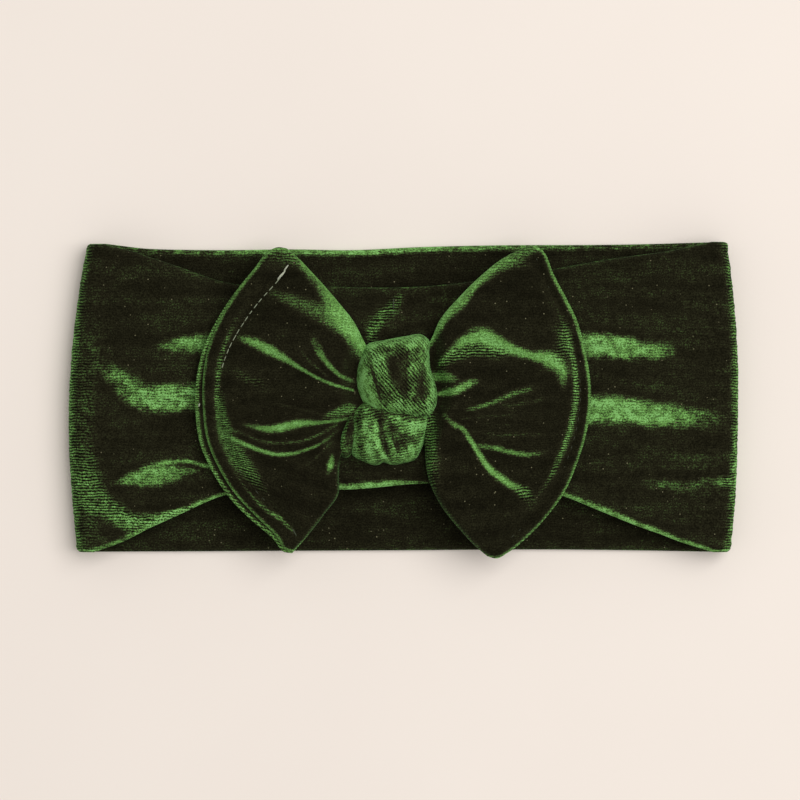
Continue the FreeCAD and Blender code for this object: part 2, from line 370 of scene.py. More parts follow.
def velvet(name, base, mottle):
    """Stretch velvet: nearly black where it lies flat, bright green where its colour carries painted sheen.

    base is how much the flat pile picks up, and mottle is how uneven the lit pile is.
    """
    n = Nodes(name)
    cloth = n.attribute("cloth").outputs["Vector"]
    # turned reads the painted sheen and shade that each point carries
    turned = n.attribute("lit").outputs["Fac"]
    plain = n.attribute("ribs").outputs["Fac"]
    split = n.add("ShaderNodeSeparateXYZ", {0: cloth})
    along, across = split.outputs[0], split.outputs[1]

    wobble = n.times(n.noise(cloth, 0.35, 1.0), 1.2)
    phase = n.times(n.plus(across, wobble), 2 * math.pi / CLOTH_PITCH)
    rib = n.times_plus(n.math("SINE", phase), 0.5, 0.5)
    grain = n.noise(cloth, 2.9, 2.0)
    coarse = n.noise(cloth, 1.1, 2.0)
    cloud = n.noise(cloth, 0.42, 3.0)
    streaks = n.add("ShaderNodeCombineXYZ", {0: n.times(along, 0.22), 1: across})
    patch = n.noise(streaks.outputs[0], 0.22, 5.0)

    # the colour also lightens towards a grazing view, a sheen by facing angle
    facing = n.add("ShaderNodeLayerWeight", {"Blend": 0.5}).outputs["Facing"]
    turned = n.plus(turned, n.times(n.span(facing, 0.35, 1.0), 0.16))
    uneven = n.plus(n.times_plus(grain, 0.6, coarse), n.times(cloud, mottle))
    ragged = n.times_plus(uneven, 0.85, -0.68 - 0.425 * mottle)
    edge = n.times(n.span(turned, 0.0, 0.5), n.math("SUBTRACT", 1.25, turned))
    lit = n.times_plus(ragged, edge, turned)
    coarseness = n.times_plus(plain, 0.36, 0.12 + 0.10 * mottle)
    speckle = n.times(n.span(grain, 0.3, 0.7, -1.0, 1.0), coarseness)
    lit = n.times(lit, n.plus(speckle, 0.84))
    lit = n.times(lit, n.span(cloud, 0.32, 0.68, 1 - 0.24 * mottle, 1 + 0.24 * mottle))
    ribbed = n.times(plain, n.span(turned, 0.0, 0.3, 0.0, 0.72))
    lit = n.times_plus(n.math("SUBTRACT", rib, 0.55), ribbed, lit)
    flat = n.times_plus(n.span(grain, 0.3, 0.7), 0.23, 0.085)
    flat = n.times(flat, n.span(patch, 0.3, 0.7, 0.72 * base, 1.28 * base))
    flat = n.times(flat, n.span(cloud, 0.3, 0.7, 0.85, 1.15))
    flat = n.times(flat, n.times_plus(rib, 0.2, 0.9))
    flat = n.times(flat, n.math("SUBTRACT", 1.0, lit, clamp=True))
    amount = n.plus(lit, flat, clamp=True)

    ramp = n.add("ShaderNodeValToRGB", {0: amount})
    ramp.color_ramp.elements[0].position = VELVET_STOPS[0][0]
    ramp.color_ramp.elements[1].position = VELVET_STOPS[-1][0]
    for position, _ in VELVET_STOPS[1:-1]:
        ramp.color_ramp.elements.new(position)
    for element, (_, colour) in zip(ramp.color_ramp.elements, VELVET_STOPS):
        element.color = (*colour, 1)

    lint = n.add("ShaderNodeTexVoronoi", {"Vector": cloth, "Scale": 0.62}, feature="F1")
    dot = n.span(lint.outputs["Distance"], 0.06, 0.13, 1.0, 0.0)
    rare = n.span(n.add("ShaderNodeSeparateColor", {0: lint.outputs["Color"]}).outputs[0], 0.5, 1.0)
    dot = n.times(n.times(dot, rare), 0.75)
    colours = {0: dot, 6: ramp.outputs[0], 7: (*LINT_COLOUR, 1)}
    colour = n.add("ShaderNodeMix", colours, data_type="RGBA")

    relief = n.plus(n.times(rib, plain), n.times(grain, 0.9))
    bump = n.add("ShaderNodeBump", {"Strength": 0.5, "Distance": 0.00012, "Height": relief})
    s = n.shader.inputs
    n.tree.links.new(colour.outputs[2], s["Base Color"])
    n.tree.links.new(bump.outputs[0], s["Normal"])
    s["Roughness"].default_value = 0.85
    s["Specular IOR Level"].default_value = 0.04
    s["Sheen Weight"].default_value = 0.12
    s["Sheen Roughness"].default_value = 0.35
    s["Sheen Tint"].default_value = (0.32, 0.75, 0.30, 1)
    return n.material


def thread_material(name, colour):
    """Spun sewing thread with a fine twist."""
    n = Nodes(name)
    where = n.add("ShaderNodeTexCoord").outputs["Object"]
    twist = n.noise(where, 2600.0, 3.0)
    tone = n.span(twist, 0.3, 0.7, 0.65, 1.2)
    mix = n.add("ShaderNodeMix", {0: tone, 6: (0, 0, 0, 1), 7: (*colour, 1)}, data_type="RGBA")
    bump = n.add("ShaderNodeBump", {"Strength": 0.5, "Distance": 0.0001, "Height": twist})
    n.tree.links.new(mix.outputs[2], n.shader.inputs["Base Color"])
    n.tree.links.new(bump.outputs[0], n.shader.inputs["Normal"])
    n.shader.inputs["Roughness"].default_value = 0.7
    return n.material


BAND_VELVET = velvet("band_velvet", 0.92, 1.0)
BOW_VELVET = velvet("bow_velvet", 0.72, 0.35)
KNOT_VELVET = velvet("knot_velvet", 0.9, 1.25)
THREAD = thread_material("green_thread", (0.026, 0.036, 0.014))
GREY_THREAD = thread_material("grey_thread", (0.24, 0.28, 0.18))
PALE_THREAD = thread_material("pale_thread", (0.42, 0.45, 0.34))


# ---------------------------------------------------------------- camera and light

FRAME_WIDTH = 213.6     # how much of the table the view takes in
VIEW_MIDDLE = (-1.07, -0.4)     # what the camera stands over, along and across
CAMERA_HEIGHT = 900.0   # above the front layer's underside
SENSOR = 36.0
FLOOR_GAP = 0.05        # keeps the floor from sharing the cloth's underside
FLOOR_WIDTH = 3.0       # in metres, as the light's place and size are
FLOOR_COLOURS = (0.835, 0.768, 0.712), (0.850, 0.785, 0.728)
KEY_PLACE = (0.75, 0.3, 1.55)
KEY_WIDTH = 1.5
KEY_POWER = 24.1
KEY_COLOUR = (1.0, 0.985, 0.965)
SKY_COLOUR = (1.0, 0.97, 0.94)
SKY_STRENGTH = 0.50


def camera():
    """The view straight down on the headband."""
    data = bpy.data.cameras.new("camera")
    data.sensor_width = SENSOR
    data.lens = SENSOR * CAMERA_HEIGHT / FRAME_WIDTH
    obj = bpy.data.objects.new("camera", data)
    obj.location = [v * MM for v in (*VIEW_MIDDLE, CAMERA_HEIGHT + FRONT_BOTTOM)]
    bpy.context.scene.collection.objects.link(obj)
    bpy.context.scene.camera = obj


def key_light():
    """A large soft light from the upper right, aimed at the origin."""
    data = bpy.data.lights.new("key", "AREA")
    data.shape = "RECTANGLE"
    data.size = data.size_y = KEY_WIDTH
    data.energy = KEY_POWER
    data.color = KEY_COLOUR
    obj = bpy.data.objects.new("key", data)
    obj.location = KEY_PLACE
    obj.rotation_euler = (-Vector(KEY_PLACE)).to_track_quat("-Z", "Y").to_euler()
    bpy.context.scene.collection.objects.link(obj)


def studio():
    """Soft light from all round and from one large lamp, over a pale paper floor."""
    world = bpy.data.worlds.new("studio")
    world.use_nodes = True
    background = world.node_tree.nodes["Background"]
    background.inputs[0].default_value = (*SKY_COLOUR, 1)
    background.inputs[1].default_value = SKY_STRENGTH
    bpy.context.scene.world = world
    key_light()
    bpy.ops.mesh.primitive_plane_add(size=FLOOR_WIDTH, location=(0, 0, -FLOOR_GAP * MM))
    floor = bpy.context.object
    floor.name = "floor"
    n = Nodes("pale_paper")
    where = n.add("ShaderNodeTexCoord").outputs["Object"]
    tone = n.span(n.noise(where, 9.0, 3.0), 0.3, 0.7, 0.0, 1.0)
    darker, lighter = ((*colour, 1) for colour in FLOOR_COLOURS)
    mix = n.add("ShaderNodeMix", {0: tone, 6: darker, 7: lighter}, data_type="RGBA")
    n.tree.links.new(mix.outputs[2], n.shader.inputs["Base Color"])
    n.shader.inputs["Roughness"].default_value = 0.9
    n.shader.inputs["Specular IOR Level"].default_value = 0.1
    floor.data.materials.append(n.material)
    bpy.context.scene.view_settings.view_transform = "Standard"


# ---------------------------------------------------------------- the band

# the front layer's free edges, as (along, across) points
FRONT_LOW = (
    (-87, -41), (-76, -37.9), (-68, -34.6), (-60, -31), (-48.6, -26), (-32, -23.8), (-16, -24.3),
    (7, -22.6), (25, -23.2), (41.7, -25.8), (52.3, -30), (63, -34.3), (74, -37.9), (87, -41),
)
FRONT_HIGH = (
    (-87, 41.2), (-69, 38), (-58.5, 34.6), (-50.5, 31.8), (-20, 30), (0, 29.8), (25, 32), (53, 37),
    (76, 40), (87, 41.8),
)
BACK_LOW = ((-87, -41.2), (-40, -41), (0, -40.8), (40, -40.6), (87, -41.2))
BACK_HIGH = (
    (-87, 41.6), (-70, 40.3), (-50, 39.9), (-30, 40.1), (-14, 39.9), (4, 40.7), (26, 41.2), (52, 41.3),
    (87, 42),
)
# where each end turns over, as (across, along) points
LEFT_END = (
    (-41.5, -87.4), (-36, -88), (-25, -89), (-8, -89.8), (8, -89.3), (26, -87.4), (36, -85.8),
    (40.6, -84.8), (42, -85),
)
RIGHT_END = (
    (-41.5, 87.2), (-36, 87.9), (-26, 88.8), (-8, 89.4), (10, 89.4), (26, 88.4), (36, 87.3), (40.6, 86.6),
    (42, 86.8),
)
EDGE_ROLL = 1.4         # how far in from an edge the cloth rounds over
EDGE_PUFF = 0.35        # how much thicker the rolled edge is
UPPER_SAG = 4.4         # how far the front layer's upper edge sinks to the back layer
SAG_REACH = 11          # how far in from that edge it sinks
SAG_END = 67            # how far along it has come level again
SAG_FADE = 19           # the length over which it does so
INNER_LIFT = 1.4        # how far the front layer's inner face may hang into the loop near the middle
INNER_FLAT = 58         # how far along it begins to come level
SEAM_DEPTH = 0.45       # the back seam's groove, and its half width below
SEAM_WIDTH = 0.7
TOP_SHADE = 0.3         # how much painted shade darkens the front layer's upper edge
END_ROUGH = 0.22        # how uneven the pile makes each end


# the front layer's folds, from right of the bow round to its left; by glow each paints sheen into the colour,
# or shade below 0
FRONT_FOLDS = (
    fold(((20, 13), (47, 14), (56, 13.6), (64, 12.7), (70.5, 12.4)), (2.8, 2.8, 3, 2.8, 1.8),
         (0.7, 0.72, 0.9, 1, 0.5), (0, 2.2, 3, 2.4, 0), 7, right=(2.8, 2.8, 3, 2.2, 1.4)),
    fold(((20, -3), (49, -2.8), (58, -3.1), (66, -4.3), (76, -5), (85, -5.5)), (3.2, 3.6, 3.6, 3.1, 2.5, 1.6),
         (0.62, 0.68, 0.9, 0.93, 0.86, 0.1), (0, 2.4, 3.2, 3, 2.2, 0), 7,
         right=(3.2, 3.6, 3.6, 3.1, 2.4, 1.5)),
    fold(((62, -22.3), (68, -22.8), (75, -23.2), (82, -22.2), (90, -22)), 1.2, (0, 0.3, 0.22, 0.38, 0.5),
         (0, 0.8, 0.9, 0.8, 0), right=1.3),
    fold(((50, -15.2), (66, -15.6), (88, -15.8)), 0.7, (0, 0.1, 0.12, 0), (0, 0.7, 0.7, 0), 2.5),
    fold(((50, -18.2), (66, -18.5), (88, -18)), 0.7, (0, 0.08, 0.1, 0), (0, 0.6, 0.6, 0), 2.5),
    fold(((52, 4.6), (66, 3.2), (80, 2.4)), 0.6, (0, 0.1, 0.05, 0), (0, 0.5, 0.5, 0), 2.5),
    fold(((-67, 13.8), (-63, 14.1), (-58.5, 14.5), (-53, 14.6), (-48, 14.3), (-30, 12)),
         (0.7, 1.8, 2.5, 2.4, 2.2), (0.05, 0.76, 0.86, 0.72, 0.58, 0.5), (0, 2.2, 2.4, 1.6, 0), 6),
    fold(((-82.5, 10), (-79.5, 8.2), (-76.2, 5.6), (-73.2, 2.6), (-69.5, 0.6), (-64, 0), (-58, 0.3),
         (-50, 0.6), (-30, 1)), (1.5, 2.4, 3, 3.5, 3.2, 2.8, 2.5, 2, 2),
         (0.04, 0.46, 0.7, 0.87, 0.88, 0.78, 0.6, 0.44, 0.4), (0, 1.6, 3, 3, 3, 2, 0), 7, 0.5,
         right=(1.5, 2.4, 3, 3.4, 3, 2.8, 2.3, 1.8, 1.8)),
    fold(((-64, 0.9), (-59, 0.6), (-54, 0.4)), (0.3, 0.5), (0, -0.3, -0.5), (0, -0.9, -0.9, 0), 1.2),
    fold(((-78.5, -22.8), (-74, -21.6), (-70, -20.8), (-65.5, -20.2), (-61, -19.6), (-57.5, -19.3),
         (-54.5, -19.2)), (0.4, 0.9, 1.7, 2.6, 2.1, 1.2, 0.4), (0.05, 0.52, 0.8, 0.88, 0.8, 0.56, 0.2),
         (0, 1.4, 2.6, 2.8, 2, 0), 6, 0.3, right=(0.4, 1.1, 2.1, 2.8, 2.2, 1.1, 0.4)),
    fold(((-67, -17.6), (-63, -17), (-59, -16.7), (-55, -17.3), (-50.5, -18.7)), 0.45,
         (0.1, 0.8, 0.9, 0.85, 0.6), (0, 0.5, 0.5, 0), 2),
    fold(((-62, -17.9), (-57, -18.1), (-53, -18.8)), 0.4, (-0.2, -0.6, -0.6), reach=2),
    fold(((-92, -22.5), (-86, -25.2), (-80.6, -28.2), (-76.8, -30.8), (-72.6, -33), (-67.8, -33),
         (-62.5, -31.3), (-56, -28.9)), (4, 3.8, 3.2, 2.7, 2.2, 1.8, 1.2, 0.5),
         (0.06, 0.12, 0.3, 0.44, 0.6, 0.7, 0.66, 0.5), (0, 0.8, 1.8, 2, 1.2, 0), 6, 1,
         right=(4, 3.8, 3, 2.5, 2, 1.6, 1, 0.5)),
    fold(((-88, 26), (-89, 5), (-88, -38)), 7, (0.04, 0.11, 0.12, 0.15, 0.1), ribs=1, right=3),
    fold(((-92, -10), (-86, -16), (-84, -23)), (1.5, 3, 5), (0, 0.06, 0.13), ribs=1, right=(1.5, 2, 4)),
    # painted shade where the cloth lies in shade
    fold(((-17, -20.3), (-4, -20.2), (9, -19.4)), 2.2, -0.12, ribs=0.2, right=1.6),
    fold(((52, -12), (70, -11), (86, -10.5)), 4, -0.06, ribs=0.2),
    fold(((-80, -10), (-66, -10), (-54, -9)), 4, -0.06, ribs=0.2),
    # above the knot, a low fold with painted sheen
    fold(((-8.5, 13), (-8, 19), (-4.5, 23), (-1.5, 27), (0.2, 30)), (1.4, 1.8, 1.9, 1.6, 0.8),
         (0.25, 0.3, 0.3, 0.26, 0.05), (0, 0.9, 1, 0.6, 0), 3.5, 1, right=(1.4, 1.8, 2, 1.8, 0.8)),
)
# the painted highlight along the front layer's rolled lower edge, as (along, brightness)
RIM_GLOW = (
    (-90, 0.6), (-75, 0.6), (-50, 0.75), (-25, 0.8), (-16, 0.9), (-3, 0.85), (1, 0.6), (6, 0.12), (14, 0.3),
    (40, 0.8), (66, 0.9), (78, 0.85), (90, 0.6),
)
# how far in from that edge the painted highlight reaches, as (along, width)
RIM_WIDTH = (
    (-90, 0.9), (-60, 1.4), (-50, 1), (-16, 1.7), (1, 1.2), (6, 0.6), (40, 1), (52, 1.5), (70, 1.2),
    (90, 0.8),
)
# the painted highlight along the back layer's rolled upper edge, as (along, brightness)
BACK_RIM_GLOW = (
    (-90, 0.25), (-70, 0.25), (-52, 0.4), (-36, 0.6), (-20, 0.8), (-4, 0.75), (14, 0.55), (30, 0.5),
    (44, 0.3), (90, 0.2),
)
# painted sheen on the ribs at each end fold, as (across, brightness)
LEFT_END_GLOW = (
    (-42, 0.34), (-30, 0.36), (-20, 0.4), (0, 0.46), (16, 0.46), (25, 0.3), (34, 0.28), (42, 0.32),
)
RIGHT_END_GLOW = (
    (-42, 0.35), (-24, 0.5), (-20, 0.7), (-12, 0.45), (5, 0.4), (18, 0.3), (30, 0.2), (42, 0.2),
)
EDGE_END = FRONT_LOW[-1][0]     # how far along the layers' edges are given, on both sides
STATION_STEP = 0.85             # from one cross-section of the loop to the next
GATHER_PITCH = 5.4              # from gather to gather of the front layer under the bow
GATHER_DEPTH = 0.75             # how far each gather rises and sinks

# the loop's pieces in order from the front's middle, to the right and round
LOOP_PIECES = (
    "front_center_right_cloth", "right_front_inner_cloth", "right_front_outer_crease", "right_end_fold",
    "right_back_outer_crease", "right_back_inner_crease", "left_back_inner_crease",
    "left_back_outer_crease", "left_end_fold", "left_front_outer_crease", "left_front_inner_crease",
)


def calm(x, width):
    """1 along most of the front layer, and near 0 round the open pivot, which needs flat cloth."""
    return 1 - 0.9 * np.exp(-(((x - CREASE) / width) ** 2))


def front_fields(x, y):
    """Relief, painted sheen and shade, and ribs of the front layer."""
    relief, glow, ribs = fold_fields(FRONT_FOLDS, x, y)
    relief = relief + 0.25 * ripple(x, y * 1.6, 5, 34)
    away = np.abs(x - BOW_MIDDLE)
    under_bow = ease((away - 5) / 5) * ease((27 - away) / 10) * ease((y + 20) / 5) * ease((15 - y) / 5)
    relief = relief + GATHER_DEPTH * under_bow * np.sin(2 * math.pi * y / GATHER_PITCH)
    return relief * calm(x, 7), glow, ribs


def loop_stations():
    """Where cross-sections stand along half of a layer and round an end fold, as (kind, number) pairs.

    For kind layer the number is how far along it stands. For reach, from the outer panel's middle to
    the fold, it is the share of the way, and for turn it is the angle turned.
    """
    steps = round(PANEL / STATION_STEP) + 1
    along = np.r_[np.linspace(0, PANEL, steps), np.linspace(PANEL, 2 * PANEL, steps)[1:]]
    half = [("layer", v) for v in along] + [("reach", v) for v in np.linspace(0, 1, 22)[1:]]
    return half, [("turn", v) for v in np.linspace(0, math.pi, 15)[1:-1]]


def band_section(kind, number, side, front):
    """One closed cross-section of the loop, as rows of x, y, z, glow (painted sheen and shade) and ribs.

    It runs over the outer face from the lower edge to the upper one, and back over the inner face.
    """
    inset = EDGE_ROLL * (1 - np.cos(np.linspace(0, math.pi / 2, 9)))
    middle = np.linspace(0, 1, 116)[1:-1]
    turned = ease(number / math.pi) if kind == "turn" else float(not front)
    reached = 2 * PANEL + (EDGE_END - 2 * PANEL) * number
    at = side * {"layer": number, "reach": reached, "turn": EDGE_END}[kind]
    low = level(FRONT_LOW, at) * (1 - turned) + level(BACK_LOW, at) * turned
    high = level(FRONT_HIGH, at) * (1 - turned) + level(BACK_HIGH, at) * turned
    inner_width = high - low - 2 * EDGE_ROLL
    across = np.r_[low + inset, low + EDGE_ROLL + inner_width * middle, high - inset[::-1]]
    from_edge = np.minimum(across - low, high - across)
    thick = CLOTH / 2 * roundness(from_edge, EDGE_ROLL)
    thick = thick * (1 + EDGE_PUFF * np.exp(-(((from_edge - EDGE_ROLL) / EDGE_ROLL) ** 2)))

    end_line, end_glow = (LEFT_END, LEFT_END_GLOW) if side < 0 else (RIGHT_END, RIGHT_END_GLOW)
    fold_x = side * (np.abs(level(end_line, across)) - FOLD_RADIUS - CLOTH / 2)
    if kind == "layer":
        x = np.full_like(across, side * number)
    elif kind == "reach":
        x = side * 2 * PANEL + (fold_x - side * 2 * PANEL) * number
    else:
        x = fold_x
    rough = END_ROUGH * (np.random.default_rng(4 + side).random(len(across)) - 0.5)
    lift_out, lift_in = np.zeros_like(across), np.zeros_like(across)
    glow, ribs = np.zeros_like(across), np.full_like(across, 0.3)
    if kind == "turn":
        nx, nz = side * math.sin(number), math.cos(number)
        cx, cz = x + (FOLD_RADIUS + rough * math.sin(number)) * nx, FOLD_MIDDLE + FOLD_RADIUS * nz
        # painted sheen on the ribs round the end fold
        glow = level(end_glow, across) * float(ease(math.sin(number) * 1.5 - 0.55))
        ribs = np.full_like(across, 0.85)
        if number < math.pi / 2:
            _, fold_glow, fold_ribs = front_fields(cx, across)
            glow = np.maximum(glow, fold_glow)
            ribs = np.maximum(ribs, fold_ribs)
    else:
        nx, nz = 0.0, 1.0 if front else -1.0
        cx, cz = x, np.full_like(across, FRONT_MIDDLE if front else BACK_MIDDLE)
    if front and kind != "turn":
        fade = 1.0 if kind == "layer" else float(ease((1 - number) * 1.15))
        relief, glow, ribs = front_fields(x, across)
        lift_out = relief * roundness(from_edge, 5.0) * fade
        lift_in = np.maximum(0.8 * lift_out, -INNER_LIFT + 1.2 * ease((np.abs(x) - INNER_FLAT) / 10))
        sag = ease(1.1 - (high - across) / SAG_REACH) * ease((SAG_END - np.abs(x)) / SAG_FADE)
        cz = cz - UPPER_SAG * sag * calm(x, 6)
    elif kind == "turn":
        lift_out = -np.maximum(thick - CLOTH / 2, 0) * turned
    else:
        seam = SEAM_DEPTH * np.exp(-((x / SEAM_WIDTH) ** 2))
        lift_out = -seam * (thick / (CLOTH / 2)) - np.maximum(thick - CLOTH / 2, 0)
    if front:
        # painted highlight along the front layer's rolled lower edge, and painted shade along its upper one
        rim = level(RIM_GLOW, at) * ease(1.4 - (across - low) / level(RIM_WIDTH, at)) * (1 - turned)
        glow = 1 - (1 - glow) * (1 - np.clip(rim, 0, 1))
        top_shade = ease(1.8 - (high - across) / 1.2) * ease((78 - np.abs(x)) / 20)
        glow = glow - TOP_SHADE * (1 - turned) * top_shade
    # painted highlight along the back layer's rolled upper edge
    back_rim = level(BACK_RIM_GLOW, at) * turned
    glow_in = np.where(high - across < 1.6, back_rim * ease((1.7 - (high - across)) / 0.6), 0.0)
    outer = np.stack([cx + nx * (thick + lift_out), across, cz + nz * (thick + lift_out), glow, ribs], 1)
    inner = np.stack([cx - nx * (thick - lift_in), across, cz - nz * (thick - lift_in), glow_in, ribs], 1)
    outer[:, 3] = np.maximum(outer[:, 3], glow_in * (across > high - 0.8))
    return np.concatenate([outer, inner[-2:0:-1]])


def band():
    """The whole loop as one grid, with the rows where it is cut: the panel middles and the open pivot."""
    half, turn = loop_stations()
    inward = half[:0:-1]        # the middle itself is left to the lap on its other side
    laps = (
        (1, True, half), (1, True, turn), (1, False, inward),
        (-1, False, half), (-1, True, turn[::-1]), (-1, True, inward),
    )
    sections, cuts = [], []
    for side, front, stations in laps:
        for kind, number in stations:
            at_middle = any(abs(number - k * PANEL) < 1e-6 for k in range(3))
            at_pivot = front and side > 0 and abs(number - CREASE) < 0.3
            if kind == "layer" and (at_middle or at_pivot):
                cuts.append(len(sections))
            sections.append(band_section(kind, number, side, front))
    return np.array(sections), cuts


def round_end(points, normals, toward):
    """Rings that close a cut of the front layer with a half round about its pivot, out from the cut."""
    middle = np.array([0, 0, FRONT_MIDDLE])
    rings, turned = [], []
    for angle in np.radians((30, 58, 80)):
        squeeze = np.array([1, 1, math.cos(angle)])
        rings.append((points - middle) * squeeze + middle + (toward * CLOTH / 2 * math.sin(angle), 0, 0))
        lean = normals * squeeze + (toward * math.sin(angle), 0, 0)
        turned.append(lean / np.linalg.norm(lean, axis=1, keepdims=True))
    return rings, turned


def build_band():
    """The loop's pieces by name, each from one cut to the next."""
    fields, cuts = band()
    # shades holds each row's glow, that is its painted sheen and shade, and its ribs
    whole, shades = fields[..., :3], fields[..., 3:]
    count, around, _ = whole.shape
    faces = grid_faces(count + 1, around, closed=True)[:, ::-1] % (count * around)
    normals = surface_normals(whole.reshape(-1, 3), faces).reshape(count, around, 3)
    along = lengths(np.concatenate([whole, whole[:1]]).mean(1))
    pivot = cuts[1]
    pieces = {}
    for name, first, last in zip(LOOP_PIECES, cuts, [*cuts[1:], count]):
        rows = np.arange(first, last + 1) % count
        points, part, shade = list(whole[rows]), list(normals[rows]), list(shades[rows])
        reach = list(along[first : last + 1])
        if last == pivot:
            rings, turned = round_end(points[-1], part[-1], 1)
            points, part = points + rings, part + turned
            shade, reach = shade + shade[-1:] * len(rings), reach + reach[-1:] * len(rings)
        if first == pivot:
            rings, turned = round_end(points[0], part[0], -1)
            points, part = rings[::-1] + points, turned[::-1] + part
            shade, reach = shade[:1] * len(rings) + shade, reach[:1] * len(rings) + reach
        body = grid_faces(len(points), around, closed=True)[:, ::-1]
        first_cap = np.arange(around)
        last_cap = (first_cap + (len(points) - 1) * around)[::-1]
        faces = [*body.tolist(), first_cap.tolist(), last_cap.tolist()]
        points = np.concatenate(points)
        place = np.stack([np.repeat(reach, around), points[:, 1]], 1)
        glow, ribs = np.concatenate(shade).T
        tilts = np.concatenate(part)
        pieces[name] = piece(name, BAND_VELVET, points, faces, place, glow, ribs, 0.12, tilts)
    return pieces


# ---------------------------------------------------------------- the bow's wings

# Each wing's outline, as (along, across) points: the two folded inner edges from the neck out to the
# tips, and the hem between the tips. centre is the middle that the wing spreads from, and grain is how
# far its knit turns towards the lower tip. The rolls are how wide an inner edge rounds over, at the
# neck and at the tip. All the others are at even steps along the hem. hem_back is how far the back ply
# peeks out past the front one, from the upper tip down. From the lower tip up, seam is how far in the
# seam lies, rim and rim_width are how bright and wide the painted highlight along the hem's rim is, and
# tick_at and ticks are where the row of stitch dents lies and how bright its painted highlight is.
WINGS = {
    "left": {
        "high": (
            (-8.5, 11.5), (-10.3, 14.6), (-13.2, 20.2), (-17.1, 25.2), (-20.5, 29.2), (-24.9, 34),
            (-28.4, 37.6), (-31.2, 39.7),
        ),
        "hem": (
            (-31.2, 39.7), (-33.6, 40), (-35.6, 39.2), (-39.6, 34.6), (-44.8, 28), (-49, 21), (-52.2, 12.9),
            (-53.4, 5.5), (-53.4, -3), (-52.3, -11.1), (-49.3, -18.3), (-44.9, -25.3), (-39.3, -31.3),
            (-33.6, -37), (-31.5, -40.2), (-29.6, -40.6),
        ),
        "low": (
            (-11.5, -8), (-14.8, -11), (-16.8, -15.2), (-17.3, -20.5), (-17.4, -25.2), (-21.1, -30.6),
            (-25.1, -35.8), (-29.6, -40.6),
        ),
        "hem_back": (0.2, 0.1, 0.2, 0.9, 1.7, 2.1, 2.0, 1.8, 1.5, 0.5),
        "high_roll": (6.0, 1.8),
        "low_roll": (1.0, 0.8),
        "seam": (4.8, 4.8, 4.7, 3.9, 3.9, 5.2, 6.2, 6.8, 7.6),
        "rim": (0.55, 0.6, 0.62, 0.62, 0.6, 0.6, 0.6, 0.6, 0.5),
        "rim_width": (0.7, 0.75, 0.75, 0.7, 0.65, 0.8, 0.9, 0.8),
        "tick_at": (3.6, 3.8, 4.0, 4.1, 4.1),
        "ticks": (0.0, 0.0, 0.0, 0.2, 0.4, 0.4, 0.3, 0.1, 0.0, 0.0),
        "centre": (-11.0, 2.0),
        "grain": 0.30,
    },
    "right": {
        "high": (
            (3.5, 11.5), (6.6, 14.8), (9.6, 21), (15, 27.3), (20.3, 32.5), (25.8, 36.9), (31, 39.6),
            (34.3, 40.6),
        ),
        "hem": (
            (34.3, 40.6), (36.2, 39.6), (39.6, 32.8), (43.1, 26.2), (45.8, 20.6), (47.6, 14), (48.9, 7.5),
            (49.4, 0.5), (48.9, -5), (47.9, -10.2), (46.2, -15.6), (42.1, -25.2), (37.5, -31.5),
            (32.1, -37.1), (27.6, -40.6), (24.4, -42.2), (22.2, -41.6),
        ),
        "low": (
            (5.5, -8), (5.6, -14.5), (6.6, -21.6), (9.9, -28.6), (15, -35), (18.6, -38.9), (22.2, -41.6),
        ),
        "hem_back": (0.2, 0.2, 0.2, 0.3, 0.3, 0.2, 0.3),
        "high_roll": (3.2, 2.6),
        "low_roll": (2.4, 1.6),
        "seam": 2.6,
        "rim": (0.3, 0.45, 0.45, 0.5, 0.65, 0.7, 0.68, 0.68, 0.7, 0.55),
        "rim_width": (0.35, 0.4, 0.4, 0.45, 0.65, 0.8, 0.8, 0.6),
        "tick_at": (5.0, 5.0, 5.2, 4.4, 3.8, 3.4, 3.2, 3.4),
        "ticks": (0.0, 0.0, 0.1, 0.4, 0.6, 0.6, 0.5, 0.1, 0.0, 0.0),
        "centre": (5.0, 1.5),
        "grain": -0.12,
    },
}
